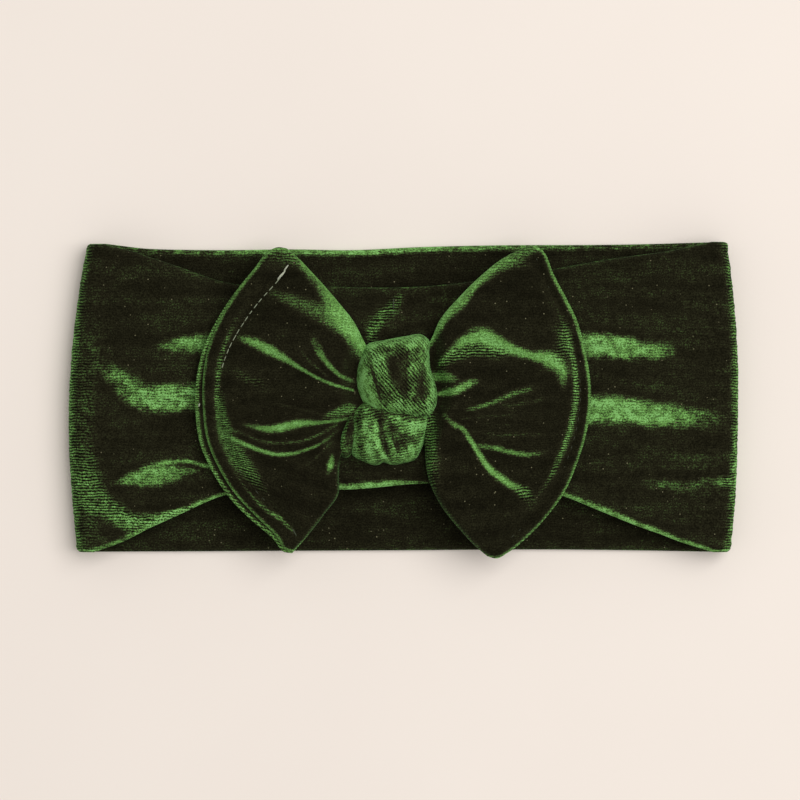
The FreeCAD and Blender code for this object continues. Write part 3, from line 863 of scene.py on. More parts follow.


# the wings' folds: by glow each paints sheen into the colour, or shade below 0
WING_FOLDS = {
    "left": (
        # the broad painted highlight along the upper inner edge's turn, and the soft one that branches from
        # it
        fold(((-9.5, 11), (-11.8, 15.6), (-14.6, 19.9), (-18.2, 25), (-22, 29.8), (-26.4, 34.4), (-31, 38.8)),
             (1.8, 2.6, 3, 2, 1.1, 0.7, 0.5), (0.9, 0.92, 0.85, 0.75, 0.65, 0.6, 0.5), ribs=0.1, right=2.5),
        fold(((-37, 27.9), (-34, 27.5), (-30.5, 26.3), (-26, 24.2), (-20.5, 21.8), (-16, 19)),
             (0.8, 1.4, 2, 2.6, 2.6), (0.05, 0.3, 0.32, 0.4, 0.52, 0.6), (0, -1.2, -1.4, -1, 0), 5,
             right=(0.8, 1.4, 1.8, 2.2, 2.2)),
        fold(((-44.5, 16.3), (-40.5, 15), (-36.2, 13), (-31.8, 10.6), (-27.8, 8.2), (-24, 6), (-19.5, 4),
             (-13.5, 2.2)), (0.6, 1.2, 1.3, 0.8, 0.45, 0.35, 0.35, 0.3), (0.1, 0.9, 1, 1, 1, 0.95, 0.9, 0.6),
             (0, 1.4, 2.3, 2, 1.6, 1.2, 0), 4.5, 0.1, right=(0.5, 1, 1.1, 0.7, 0.4, 0.35, 0.35, 0.3)),
        fold(((-24.5, 17), (-22.8, 13.2), (-21.2, 10.4), (-19, 7.9), (-16.8, 6), (-13.5, 4.6)),
             (0.9, 0.9, 0.7, 0.5, 0.5), (0.05, 0.45, 0.7, 0.8, 0.7, 0.4), (0, 1.4, 1.5, 1.2, 0), 2.8, 0.1,
             right=(0.9, 0.9, 0.6, 0.5, 0.5)),
        fold(((-28, 13.5), (-24.5, 9.5), (-20.5, 6)), 0.3, (0, 0.22, 0.2), (0, 0.5, 0), 1.5),
        fold(((-43.5, -6.8), (-39.5, -7.6), (-35, -8.1), (-31, -7.4), (-27, -6.6), (-22, -6.4), (-15, -5.4)),
             (0.3, 0.7, 1, 1.1, 0.7, 0.4, 0.4), (0.1, 0.7, 1, 1, 0.9, 0.8, 0.5),
             (0, 1.2, 2.2, 2.2, 1.8, 1.2, 0), 3.8, 0.1, right=(0.3, 0.6, 0.9, 0.9, 0.6, 0.4, 0.4)),
        fold(((-21, -4.8), (-17.8, -3.8), (-14, -2.8)), (0.8, 1.4), (0.2, 0.55, 0.5), (0, 0.6, 0), 2, 0.6,
             right=(0.8, 1.2)),
        fold(((-46, -8), (-42, -9.6), (-38, -11.2), (-33, -11.8), (-28, -11.4), (-23, -9.8), (-18, -7)), 0.35,
             (0.2, 0.25, 0.35, 0.3, 0.35, 0.2), (0, 0.6, 0.7, 0.6, 0), 1.7),
        fold(((-49, -9.6), (-44.5, -11), (-41, -12.6), (-37.5, -13.9), (-33.5, -14.8), (-29.5, -14.6),
             (-26, -13.6), (-22.5, -12.2), (-17, -8.2)), (0.35, 0.5, 0.5, 0.4, 0.35, 0.3),
             (0.15, 0.9, 1, 1, 1, 0.85, 0.7, 0.3, 0.1), (0, 1.2, 1.6, 1.6, 1.4, 0.8, 0), 3.6, 0.15),
        fold(((-19, -14.8), (-19.5, -17.4), (-20.4, -20.4)), (0.4, 1, 0.5), (0.2, 1, 0.1), (0, -1.4, 0), 2.4,
             0.1, right=(0.4, 0.8, 0.4)),
        fold(((-28, -18.6), (-23.5, -15.8), (-19, -11.5)), 0.3, (0.05, 0.18, 0.1), (0, 0.5, 0), 2),
        fold(((-39, -0.2), (-31, -2), (-22, -4.2)), 0.3, (0, 0.16, 0.1), (0, 0.4, 0), 2),
        # ribbed cloth near the hem, with painted sheen
        fold(((-48, -8.5), (-45, -14), (-41.4, -19), (-37, -24.5)), (2.2, 2.4, 1.4), (0.24, 0.33, 0.3, 0.1),
             ribs=1, right=(1.4, 2.2, 1.4)),
        fold(((-48.5, 0), (-48.2, -4), (-47, -7.5)), 1.4, (0.1, 0.3, 0.25), ribs=1, right=0.8),
        fold(((-46, 8), (-41, 5), (-34.5, 3.4)), 1.6, (0, 0.13, 0.13, 0), ribs=1),
        fold(((-45, -19.8), (-40.6, -25.6), (-36.5, -29.8), (-33, -32), (-29.4, -35.4)),
             (0.35, 0.4, 0.6, 0.8, 0.5), (0.2, 0.25, 0.5, 0.65, 0.2), (0, 0.5, 0.9, 0.4), 2.4, 0.5,
             right=0.3),
        fold(((-27.9, -39), (-24.5, -34.4), (-20.6, -29.4), (-17.3, -24.8), (-17.2, -16)), 0.3,
             (0.1, 0.1, 0.05, 0, 0)),
        fold(((-36, 38), (-33, 38), (-30.5, 37)), 2.2, (0.2, 0.25, 0.15), ribs=0.5),
    ),
    "right": (
        fold(((5.2, 12), (7.6, 16), (10.4, 20.6), (15.2, 26.6), (20.8, 32), (26, 36), (31, 38.2), (35, 39.6)),
             1.5, (0.75, 0.9, 0.9, 0.9, 0.85, 0.75, 0.5, 0.4), ribs=0.35,
             right=(0.5, 0.8, 0.9, 0.9, 1, 1.5, 1.6, 0.8)),
        fold(((13, 22), (16.5, 26.5), (19, 29.5)), 0.6, (0.2, 0.7, 0.3), (0, 0.6, 0), 2, right=(0.9, 1, 0.6)),
        fold(((24, 34), (28.5, 35.6), (33, 35)), 1.4, (0.2, 0.4, 0.15), reach=3, ribs=0.3, right=1.2),
        fold(((9, 8.5), (12.6, 12.6), (16.7, 15.6), (20.6, 16.4), (24.8, 14.5), (29.1, 12.6), (34.1, 11.3),
             (38.4, 10.4), (41.5, 7.8), (42.2, 2.6)), (0.5, 0.9, 1.3, 2.2, 1.8, 1.2, 1, 1.8, 1.6, 0.6),
             (0.2, 0.5, 0.85, 1, 1, 1, 0.95, 0.95, 0.85, 0.2), (0, 1.2, 2.4, 3, 2.6, 2.2, 2, 2, 1.4, 0), 4.5,
             0.15, right=(0.5, 0.9, 1.4, 2.3, 1.8, 1.2, 1, 1.9, 1.6, 0.6)),
        fold(((14.2, 15.6), (16.6, 17.3), (19.6, 17.8)), 0.3, (0, -0.5, -0.3), (0, -1, -0.9, 0), 1.1),
        fold(((10.5, 9.5), (15, 11.8), (20.5, 12.6), (26, 11.4)), 1.6, (0.2, 0.36, 0.3, 0.1), reach=3,
             ribs=1),
        fold(((7.2, 5.6), (9.6, 5.8), (12.8, 5.2), (14.5, 4.4)), (1.2, 1.3, 0.8), (0.5, 0.75, 0.6, 0.1),
             (0, 1.3, 1, 0), 2.4, 0.3, right=(1, 1.1, 0.8)),
        fold(((7.8, 1), (11, 1.5), (14.6, 2.4), (17.2, 4), (20.2, 5)), (0.5, 0.9, 1.1, 1, 0.6),
             (0.4, 0.85, 0.85, 0.8, 0.1), (0, 1.5, 1.7, 1.2, 0), 3, 0.3, right=(0.4, 0.8, 1, 0.9, 0.5)),
        fold(((16.5, -3), (20, -2.2), (23.4, -1.1), (27, 0.5), (31, 1.9), (36, 3.2)), (0.5, 0.5, 0.7, 0.9),
             (0.2, 0.65, 0.6, 0.5, 0.35, 0.05), (0, 0.9, 1, 0.7, 0), 3.4, 0.4, right=(0.5, 0.4, 0.5, 0.8)),
        fold(((15, -5.6), (22, -4.7), (30, -4.6)), 0.3, (0.1, 0.22, 0.08), (0, 0.4, 0), 1.6),
        fold(((15, -7.2), (23, -6.8), (31, -7)), 0.3, (0.1, 0.14, 0.05), (0, 0.3, 0), 1.6),
        fold(((22, -2.6), (30, -1.6), (39, 0.4)), 0.4, (0.05, 0.16, 0.05), (0, 0.4, 0), 1.8, 0.6),
        fold(((18, -8.8), (27, -9.6), (37, -9.2)), 0.4, (0.1, 0.14, 0.04), (0, 0.4, 0), 1.8, 0.6),
        fold(((10.8, -4.6), (13, -6.8), (15.4, -8), (17.4, -10.8), (19.4, -14), (21.8, -17.6), (25, -20.6),
             (28.6, -23), (33, -25.4)), (0.6, 0.7, 0.6, 0.6, 0.7, 0.8, 0.9, 1, 1.4),
             (0.4, 0.6, 0.7, 1, 0.95, 0.95, 0.95, 0.7, 0.15), (0, -1.6, -2.2, -2.8, -2.8, -2.4, -1.4, 0), 5,
             0.2, right=(0.6, 0.7, 0.6, 0.6, 0.7, 0.8, 0.9, 1, 1.6)),
        fold(((19.6, -12.6), (23.5, -13), (28, -14.1), (32.4, -14.8), (38, -14.2)), (0.5, 0.6, 0.6, 0.5),
             (0.5, 0.85, 0.8, 0.65, 0.1), (0, 1.2, 1.2, 0.8, 0), 3, 0.15),
        # ribbed cloth near the neck and the hem, with painted sheen
        fold(((6.2, -4), (6.9, -10), (7.4, -16), (8.4, -23)), 1.8, (0.35, 0.3, 0.25, 0.08), reach=3, ribs=0.9,
             right=1.6),
        fold(((9.6, -27), (13.6, -33.2), (19.6, -39)), 0.4, (0.04, 0.1, 0.12)),
        fold(((40.5, 20), (42.4, 16), (41.8, 12)), 2.4, (0.05, 0.28, 0.2), reach=3, ribs=1, right=2.2),
        fold(((32, -25), (33, -27)), 2, (0.2, 0.05), reach=3, ribs=1),
    ),
}


# the whole knot seen from above, clockwise: the wings dive under it here
KNOT_OUTLINE = (
    (-10.1, 14.2), (0.3, 16.6), (4.8, 17), (6.8, 15.4), (7.2, 8.4), (9.2, 0.8), (7.4, -4.4), (4.9, -13),
    (2.9, -16.3), (-7, -17.7), (-13.8, -15), (-17.2, -15), (-17.4, -11.6), (-15.8, -6.4), (-13, -2),
    (-13.1, 7.1), (-12, 10.9),
)


# how high a wing stands, as (share of the way out, height)
WING_RISE = ((0, 6.2), (0.12, 5.4), (0.3, 4.3), (0.6, 3.6), (0.85, 3.0), (1, 2.6))
WING_FOOT = WING_SPLIT - 0.1    # the front ply starts just inside the back one
FRONT_PLY = 1.3                 # how thick the front ply is where it stands high
WING_LENGTH = 42                # from a wing's middle to its hem
KNOT_DIVE = 4.5                 # how near the knot a wing begins to dive under it
NECK_PLEATS = 17                # the fine pleats that spread from the neck, in a full turn
HEM_SHARE = 0.62                # how much of its height a wing keeps between its seam and its hem
GROOVE_DEPTH = 0.4              # the seam's groove, and its half width below
GROOVE_WIDTH = 0.45
HEM_ROLL = 1.3                  # how far in from the hem the cloth rounds over


def patch(neck, high, hem, low, out, up):
    """Points inside four lines that meet at their ends. out runs from neck to hem, up from low to high."""
    above, below = route(high, out)[:, None], route(low, out)[:, None]
    near, far = route(neck, up)[None], route(hem, up)[None]
    u, v = out[:, None, None], up[None, :, None]
    tilted = (1 - v) * below + v * above
    spread = (1 - u) * near + u * far
    near_flat, far_flat = ((1 - v) * line[:, :1] + v * line[:, -1:] for line in (near, far))
    return tilted + spread - ((1 - u) * near_flat + u * far_flat)


def wing_lines(wing, ply):
    """The wing's neck, upper edge, hem and lower edge, with the back ply's hem out where it shows."""
    hem = np.array(wing["hem"][::-1], float)
    if ply == "back":
        along = lengths(hem)
        out = read_along(wing["hem_back"], 1 - along / along[-1])
        hem = hem + away_from(wing["centre"], hem) * out[:, None]
    high, low = np.array(wing["high"], float), np.array(wing["low"], float)
    high[-1], low[-1] = hem[-1], hem[0]
    neck = np.stack([low[0], (low[0] + high[0]) / 2 + (0.5, 0), high[0]])
    return neck, high, hem, low


def edge_samples(count, fine_low):
    """0 to 1 in even steps, with finer ones next to the edge at 1, and at 0 if asked."""
    end = 0.045
    rim = end * (1 - np.cos(np.linspace(0, math.pi / 2, 9)))
    low = rim if fine_low else np.array([0.0, end])
    return np.r_[low, np.linspace(end, 1 - end, count)[1:-1], 1 - rim[::-1]]


def wing_fields(side_name, x, y, lines):
    """Height of a wing's front ply above its lower edge, with its painted sheen and shade, and ribs."""
    wing = WINGS[side_name]
    _, high, hem, low = lines
    from_high, share_high = beside(route(high, np.linspace(0, 1, 60)), x, y)
    from_low, share_low = beside(route(low, np.linspace(0, 1, 60)), x, y)
    from_hem, share_hem = beside(route(hem, np.linspace(0, 1, 160)), x, y)
    from_high, from_low, from_hem = np.abs(from_high), np.abs(from_low), np.abs(from_hem)
    centre = wing["centre"]
    out = np.clip(np.hypot(x - centre[0], (y - centre[1]) * 0.8) / WING_LENGTH, 0, 1)
    round_knot = ring(KNOT_OUTLINE, 120)
    from_knot = beside(np.concatenate([round_knot, round_knot[:1]]), x, y)[0]
    rise = level(WING_RISE, out) * (1 - 0.8 * ease(1 - from_knot / KNOT_DIVE))
    folds, glow, ribs = fold_fields(WING_FOLDS[side_name], x, y)
    angle = np.arctan2(y - centre[1], x - centre[0])
    pleats = 0.3 * np.sin(angle * NECK_PLEATS) * np.exp(-out * 11)
    folds = folds + pleats + 0.18 * ripple(x, y, 11, 15)
    inside = np.minimum(np.minimum(from_high, from_low), from_hem)
    seam, rim, rim_width, tick_at, ticks = (
        read_along(wing[key], share_hem) for key in ("seam", "rim", "rim_width", "tick_at", "ticks")
    )
    puffed = HEM_SHARE + (1 - HEM_SHARE) * ease((from_hem - seam) / 3.4)
    tube = 0.10 * np.exp(-(((from_hem - 0.45 * seam) / (0.4 * seam)) ** 2))
    groove = GROOVE_DEPTH * np.exp(-(((from_hem - seam) / GROOVE_WIDTH) ** 2))
    folds = folds * ease(inside / 2.5) * ease(0.2 + from_knot / 5)
    body = np.maximum(rise * (puffed + tube) - groove + folds, 1.0)
    body = body * roundness(from_high, read_along(wing["high_roll"], share_high))
    body = body * roundness(from_low, read_along(wing["low_roll"], share_low))
    body = body * roundness(from_hem, HEM_ROLL)
    # painted highlights along the hem's rim and on the row of stitch dents
    rim = rim * ease(1.5 - from_hem / rim_width)
    ticks = ticks * np.exp(-(((from_hem - tick_at) / 0.8) ** 2))
    glow = 1 - (1 - glow) * (1 - rim) * (1 - ticks)
    return body, glow, np.maximum(ribs, np.minimum(2.5 * ticks, 1))


def shell(name, plan, top, bottom, cloth, glow, ribs):
    """A closed thin piece of the bow between two heights over a grid of places."""
    rows, columns = top.shape
    count = rows * columns
    upper = grid_faces(rows, columns)
    lower = upper[:, ::-1] + count
    index = np.arange(count).reshape(rows, columns)
    rim = np.r_[index[0, :-1], index[:-1, -1], index[-1, :0:-1], index[:0:-1, 0]]
    following = np.roll(rim, -1)
    sides = np.stack([following, rim, rim + count, following + count], 1)
    points = np.concatenate([np.dstack([plan, z]).reshape(-1, 3) for z in (top, bottom)])
    faces = np.concatenate([upper, lower, sides])
    if newell(points, upper)[:, 2].sum() < 0:
        faces = faces[:, ::-1]
    glow = np.r_[np.ravel(glow), np.ravel(glow) * 0]
    ribs = np.tile(np.ravel(ribs), 2)
    cloth = np.tile(cloth.reshape(-1, 2), (2, 1))
    return piece(name, BOW_VELVET, points, faces, cloth, glow, ribs, 0.14)


def build_wing(side_name):
    """Front and back ply of one wing."""
    wing = WINGS[side_name]
    out, up = edge_samples(72, False), edge_samples(120, True)
    made = {}
    for ply in ("back", "front"):
        lines = wing_lines(wing, ply)
        plan = patch(*lines, out, up)
        x, y = plan[..., 0], plan[..., 1]
        if ply == "front":
            height, glow, ribs = wing_fields(side_name, x, y, lines)
            top = WING_FOOT + height
            bottom = WING_FOOT + np.maximum(height - FRONT_PLY, 0) * 0.999
        else:
            inside = np.full(x.shape, 99.0)
            for line in lines[1:]:
                from_line = beside(route(line, np.linspace(0, 1, 90)), x, y)[0]
                inside = np.minimum(inside, np.abs(from_line))
            half = (WING_SPLIT - WING_FLOOR) / 2
            round_edge = roundness(inside, 1.0)
            wave = 0.35 * (1 + ripple(x, y, 3, 22)) * ease(inside / 5)
            top = WING_FLOOR + half + (half + 0.1) * round_edge + wave
            bottom = WING_FLOOR + half - half * round_edge + wave * 0.8
            # painted highlight along the back ply's rolled edges
            glow, ribs = 0.62 * ease(1.5 - inside / 1.0), np.full(x.shape, 0.6)
        turn = wing["grain"] * ease((2 - y) / 24)
        cloth = np.stack([x, y * np.cos(turn) + x * np.sin(turn)], -1)
        made[ply] = shell(f"{side_name}_wing_{ply}_cloth", plan, top, bottom, cloth, glow, ribs)
    return made


# ---------------------------------------------------------------- sewing thread


def capsules(name, places, radius, material):
    """Stitches as one mesh: each place is (start, end), and a stitch is a rounded bar sunk at its ends."""
    around, stops = 8, (0.0, 0.06, 0.2, 0.5, 0.8, 0.94, 1.0)
    girth = (0.05, 0.55, 0.9, 1.0, 0.9, 0.55, 0.05)
    points, faces = [], []
    for start, end in places:
        start, end = np.array(start, float), np.array(end, float)
        run = (end - start) / np.linalg.norm(end - start)
        side = np.cross(run, (0, 0, 1))
        side /= np.linalg.norm(side)
        top = np.cross(side, run)
        base = len(points)
        for stop, thick in zip(stops, girth):
            for k in range(around):
                angle = 2 * math.pi * k / around
                spread = (side * math.cos(angle) + top * math.sin(angle)) * radius * thick
                sunk = (0, 0, radius * 1.4 * (2 * stop - 1) ** 4)
                points.append(start + (end - start) * stop + spread - sunk)
        faces += (grid_faces(len(stops), around, closed=True) + base).tolist()
        faces.append([base + k for k in range(around)])
        faces.append([base + (len(stops) - 1) * around + k for k in range(around)][::-1])
    points = np.array(points)
    return piece(name, material, points, faces, points[:, :2])


def on_wing(side_name, spot, lift):
    """The point on a wing's front ply above a spot (along, across), lifted off it."""
    spot = np.array(spot, float)
    height = wing_fields(side_name, spot[:1], spot[1:], wing_lines(WINGS[side_name], "front"))[0]
    return np.array((*spot, WING_FOOT + height[0] + lift))


def hem_stitches(side_name, shares, sizes, lift):
    """Stitches along a wing's seam, at shares of the way from its lower tip to its upper one."""
    wing = WINGS[side_name]
    hem = route(wing_lines(wing, "front")[2], np.linspace(0, 1, 400))
    along = lengths(hem)
    seam = np.reshape(read_along(wing["seam"], along / along[-1]), (-1, 1))
    line = hem - away_from(wing["centre"], hem) * seam
    places = []
    for share, size in zip(shares, sizes):
        ends = share * along[-1] + np.array((-0.5, 0.5)) * size
        spots = [(np.interp(at, along, line[:, 0]), np.interp(at, along, line[:, 1])) for at in ends]
        places.append([on_wing(side_name, spot, lift) for spot in spots])
    return places


# the tuft of thread near the left wing's upper tip, as strands from one (along, across) point to another
THREAD_TUFT = (
    ((-33.6, 31.4), (-32.2, 33.2)), ((-33.2, 31.6), (-31.8, 33.6)), ((-32.6, 32.2), (-31.4, 34)),
    ((-31.9, 33.7), (-30.6, 35.4)),
)
LOOSE_END = ((-54.5, -2.3, 13.0), (-54.2, -1.2, 13.2))     # a bit of thread on the left hem


STITCH = 2.0            # a hem stitch's length
BACK_STITCH = 2.2       # a back stitch's, and from one to the next
BACK_STEP = 3.0


def build_threads():
    """Stitches along each hem, the tuft near the left wing's upper tip, and the back seam."""
    rng = np.random.default_rng(8)
    upper, lower = np.linspace(0.60, 0.90, 14), np.linspace(0.05, 0.57, 20)
    right = np.linspace(0.04, 0.96, 34)
    shown = hem_stitches("left", upper, rng.uniform(1.7, 2.6, len(upper)), 0.1)
    tuft = [(on_wing("left", a, 0.1), on_wing("left", b, 0.25)) for a, b in THREAD_TUFT]
    tuft.append(LOOSE_END)
    half = BACK_STITCH / 2
    back = [((0, y - half, 0.32), (0, y + half, 0.32)) for y in np.arange(-36, 37, BACK_STEP)]
    plans = (
        ("left_hem_stitches", hem_stitches("left", lower, [STITCH] * len(lower), -0.1), 0.2, THREAD),
        ("left_upper_stitches", shown, 0.14, GREY_THREAD),
        ("left_thread_tuft", tuft, 0.21, PALE_THREAD),
        ("right_hem_stitches", hem_stitches("right", right, [STITCH] * len(right), -0.12), 0.2, THREAD),
        ("back_seam_stitches", back, 0.22, THREAD),
    )
    return [capsules(*plan) for plan in plans]


# ---------------------------------------------------------------- the knot


def dome(name, outline, centre, top, fullness, folds, shine, flow=9, spokes=150, rings=56):
    """A bunched pass of cloth: a puffed form over an outline, closed underneath.

    fullness is how flat-topped it is, as (all round, more towards +X, more towards +Y), flow is how
    far its knit turns, in degrees, and shine is how much painted sheen its tilt gives its colour.
    """
    centre, height = np.array(centre, float), top - KNOT_BASE
    rim = ring(outline, spokes)
    share = np.sin(np.linspace(0, math.pi / 2, rings))[1:, None]
    plan = centre + share[..., None] * (rim - centre)
    plan = np.concatenate([plan.reshape(-1, 2), [centre, centre]])
    x, y = plan[:, 0], plan[:, 1]
    angle = np.arctan2(rim[:, 1] - centre[1], rim[:, 0] - centre[0])[None]
    power = fullness[0] + fullness[1] * np.cos(angle) + fullness[2] * np.sin(angle)
    rise = np.r_[np.sqrt(np.clip(1 - share**power, 0, 1)).ravel(), 1, 0]
    relief, glow, ribs = fold_fields(folds, x, y)
    z = KNOT_BASE + rise * (height + relief)
    points = np.column_stack([plan, z])
    count = (rings - 1) * spokes
    following = np.roll(np.arange(spokes), -1)
    faces = grid_faces(rings - 1, spokes, closed=True)[:, ::-1].tolist()
    for k in range(spokes):
        faces.append([count, k, int(following[k])])
        faces.append([count + 1, count - spokes + int(following[k]), count - spokes + k])
    a, b, c = (points[i] for i in faces[-2])
    if np.cross(b - a, c - b)[2] < 0:
        faces = [f[::-1] for f in faces]
    # the knit follows the puffed form down to its rim
    smooth = np.column_stack([plan[:count], rise[:count] * height]).reshape(-1, spokes, 3)
    crown = np.broadcast_to((*centre, height), (1, spokes, 3))
    steps = np.linalg.norm(np.diff(np.concatenate([crown, smooth]), axis=0), axis=2)
    reach = np.r_[np.cumsum(steps, axis=0).ravel(), 0, 0][:, None]
    away = plan - centre
    straight = np.maximum(np.linalg.norm(away, axis=1, keepdims=True), 1e-6)
    u, v = (away * (0.7 + 0.3 * reach / straight)).T
    cos, sin = math.cos(math.radians(flow)), math.sin(math.radians(flow))
    cloth = np.stack([u * cos + v * sin, v * cos - u * sin], 1)
    return piece(name, KNOT_VELVET, points, faces, cloth, glow, ribs, shine)


UPPER_WRAP = (
    (-10.1, 14.2), (-5.1, 15.6), (0.3, 16.6), (4.8, 17), (6.8, 15.4), (7, 12.2), (7.2, 8.4), (8.4, 4.6),
    (9.2, 0.8), (8.6, -2.8), (6.8, -5.3), (2.9, -6), (-1.6, -5.8), (-6.4, -5.6), (-9.1, -4), (-11.7, -0.9),
    (-13.1, 2.8), (-13.1, 7.1), (-12, 10.9),
)
LOWER_WRAP = (
    (-13.7, -2.5), (-14.6, -7.1), (-14.8, -11.6), (-13.8, -15), (-10.8, -16.8), (-7, -17.7), (-5.4, -17.1),
    (-3.6, -17.6), (-0.4, -17.3), (2.9, -16.3), (4.9, -13), (6.4, -8.9), (7.4, -4.4), (5.4, -1.2),
    (-2.4, 0.5), (-10.4, 0.2),
)
SIDE_TUCK = (
    (-13.6, -2.2), (-15.8, -6.4), (-17.4, -11.6), (-17.2, -15), (-15.4, -15.9), (-13.4, -14), (-12, -8),
)
CORE = ((-10.5, 8), (-8, 11.5), (-2.5, 12.5), (3.5, 11.5), (5.5, 6), (5, -2), (-2.5, -4), (-9, -2))


UPPER_FOLDS = (
    # painted sheen over the whole wrap, then the ribs that run down to the right from the upper left; glow
    # below 0 paints shade in the creases
    fold(((-8, 6), (7, 6)), 9.5, 0.12, ribs=0.6, right=11),
    fold(((-9, 13), (-7, 9), (-4.4, 4.4), (-1, -0.5)), (2.2, 2, 1.2, 1), (0.62, 0.5, 0.34, 0.2),
         (0, 0.5, 0.3, 0), 3, 1, right=(1.6, 1.4, 1.2, 1)),
    fold(((-10, 13.8), (-4, 14.9), (2, 15.8), (5.6, 16)), 2, (0.66, 0.62, 0.6, 0.6), reach=3, ribs=0.6,
         right=(1.4, 1.2, 1, 2.2)),
    fold(((2.4, 16), (2.4, 11), (2.2, 6), (2.2, 1)), (0.8, 0.7, 0.9, 0.7), (0.6, 0.34, 0.3, 0.4),
         (0, 0.5, 0.5, 0), 2, 0.6, right=(1.4, 0.9, 1.1, 1)),
    fold(((4.4, 12.5), (4.8, 7), (4.8, 0)), 1, (-0.3, -0.4, -0.3), (0, 1, 1, 0), 1.8),
    fold(((-3.6, 12), (-2.6, 8), (-1.6, 4)), 1.4, (-0.3, -0.4, -0.2), reach=1.8, ribs=0.4, right=1.8),
    fold(((7, 15), (7.6, 8), (8.2, 2), (8, -4)), (0.9, 1, 1.1), (0.4, 0.5, 0.55, 0.4), (0, -0.6, -0.6, 0), 2,
         0.6, right=1.5),
    fold(((-5.6, -1), (-2, -1.6), (2, -2.2), (7, -2.4)), (1, 1.6), (0.1, 0.3, 0.36, 0.32), (0, 0.5, 0.4, 0),
         2, 0.8, right=1.6),
    fold(((-6, -3.2), (-3, -4.4), (0.5, -4.8)), 0.5, -0.6, (0, 0.8, 0), 1),
    fold(((-6.2, 1.5), (-4.6, -1.2), (-2.4, -3.4)), 0.7, (-0.3, -0.5, -0.5), (0, 0.6, 0), 1),
    # the left flank's painted highlight, and the crease at its inner side in painted shade
    fold(((-9.4, 12.6), (-8.6, 8), (-6.9, 2), (-5.8, -3.6)), 0.4, (-0.3, -0.5, -0.4, -0.3),
         (0, -0.7, -0.9, -0.4), 1.2),
    fold(((-11.6, 12.2), (-11.8, 8), (-11, 3), (-9.4, -1.5), (-7.2, -5.4)), (0.8, 1.6, 2.8, 2.8, 1.6),
         (0.7, 1, 1, 1, 0.9), (0, 0.8, 1.4, 1, 0), 3, 0.05, right=3),
)
LOWER_FOLDS = (
    # painted sheen over the whole pass and along its folds, and painted shade in the creases between
    fold(((-14, -9), (6, -9)), 9, 0.22, ribs=0.45),
    fold(((-13.4, -2.5), (-13.9, -7), (-13.8, -12), (-12.2, -15.6)), 0.9, (0.7, 0.85, 0.75, 0.6), reach=3,
         ribs=0.5, right=1),
    fold(((-11.6, -2.6), (-11.9, -8), (-11.4, -13)), 0.5, (-0.6, -0.5, -0.3), (0, 0.9, 0.9, 0), 1.2, 0.6),
    fold(((-9.2, -4), (-9.4, -9), (-9.2, -15.5)), (1.4, 1.6, 2), (0.75, 0.85, 0.7), reach=3, ribs=0.6,
         right=1.4),
    fold(((-7.7, -5.5), (-7.2, -10), (-6, -14.4), (-4, -17)), 0.5, (0.6, 0.9, 0.95, 0.8), (0, -2, -2.4, 0),
         2.4, 0.4, right=0.7),
    fold(((-6.4, -6), (-5.8, -10.5), (-4.6, -14.6), (-3, -17)), (0.5, 0.7, 0.4), (-0.5, -0.8, -0.7),
         (0, -1.6, -1.2, 0), 1.2, 0.5, right=0.3),
    fold(((-4.6, -6.4), (-4, -10.5), (-2.4, -15.5)), 0.7, (0.3, 0.42, 0.55), reach=1.2, ribs=0.55, right=0.6),
    fold(((-3.2, -7.6), (-2.4, -11), (-0.8, -15.8)), (0.35, 0.6, 0.35), (-0.6, -0.8, -0.5), (0, -1.4, -1, 0),
         1.2, 0.5),
    fold(((-2.8, -5.8), (0.6, -7), (3.4, -7.6), (6, -7.2)), 1.4, (0.6, 0.95, 1, 0.85), (0, 1.6, 1.8, 0), 2.4,
         0.55, right=(0.5, 1.8, 2.2, 1.4)),
    fold(((-1.2, -9.4), (1.8, -11), (5.2, -11.6)), 0.4, (-0.6, -0.8, -0.4), (0, -1.8, -1.2, 0), 1.2, 0.5,
         right=(0.4, 0.7, 0.3)),
    fold(((-0.6, -14.6), (1, -14), (3.2, -13.4), (4.8, -11.4)), 0.9, (0.65, 0.75, 0.8, 0.65), reach=3,
         ribs=0.6, right=1.8),
    fold(((0.4, -12.4), (1, -14.4), (1.2, -16.8)), 0.3, -0.5, (0, 0.9, 0.6, 0), 0.6),
)
TUCK_FOLDS = (
    # painted sheen along the tuck's fold
    fold(((-14.6, -4), (-16.6, -9), (-16.8, -13.4)), 1.2, (0.3, 0.34, 0.45), (0, 0.5, 0), 2, 0.8, right=1.6),
)


def build_knot():
    """The knot's four passes."""
    return [
        dome("knot_upper_cloth", UPPER_WRAP, (-2.4, 5.2), KNOT_TOP - 1, (3, 1.1, 0.4), UPPER_FOLDS, 0.5, -48),
        dome("knot_lower_cloth", LOWER_WRAP, (-4.2, -7), 18.2, (2.6, 0, 0), LOWER_FOLDS, 0.4),
        dome("knot_side_tuck", SIDE_TUCK, (-14.9, -9), 15.6, (2.2, 0, 0), TUCK_FOLDS, 0.3, 9, 60, 24),
        dome("knot_core_cloth", CORE, (-2.5, 4), 18.5, (2.6, 0, 0), (), 0.3, 9, 60, 20),
    ]


# ---------------------------------------------------------------- the whole


CREASE_REACH = 14.0     # how far each side of a crease the places given to bend lie
NECK_REACH = (3.0, 5.5)     # how far inside and outside its lift axis the places given to bend lie
# what each wing lies on
UNDER_WING = {
    "left": ("left_front_inner_crease", "left_front_outer_crease"),
    "right": ("front_center_right_cloth", "right_front_inner_cloth", "right_front_outer_crease"),
}
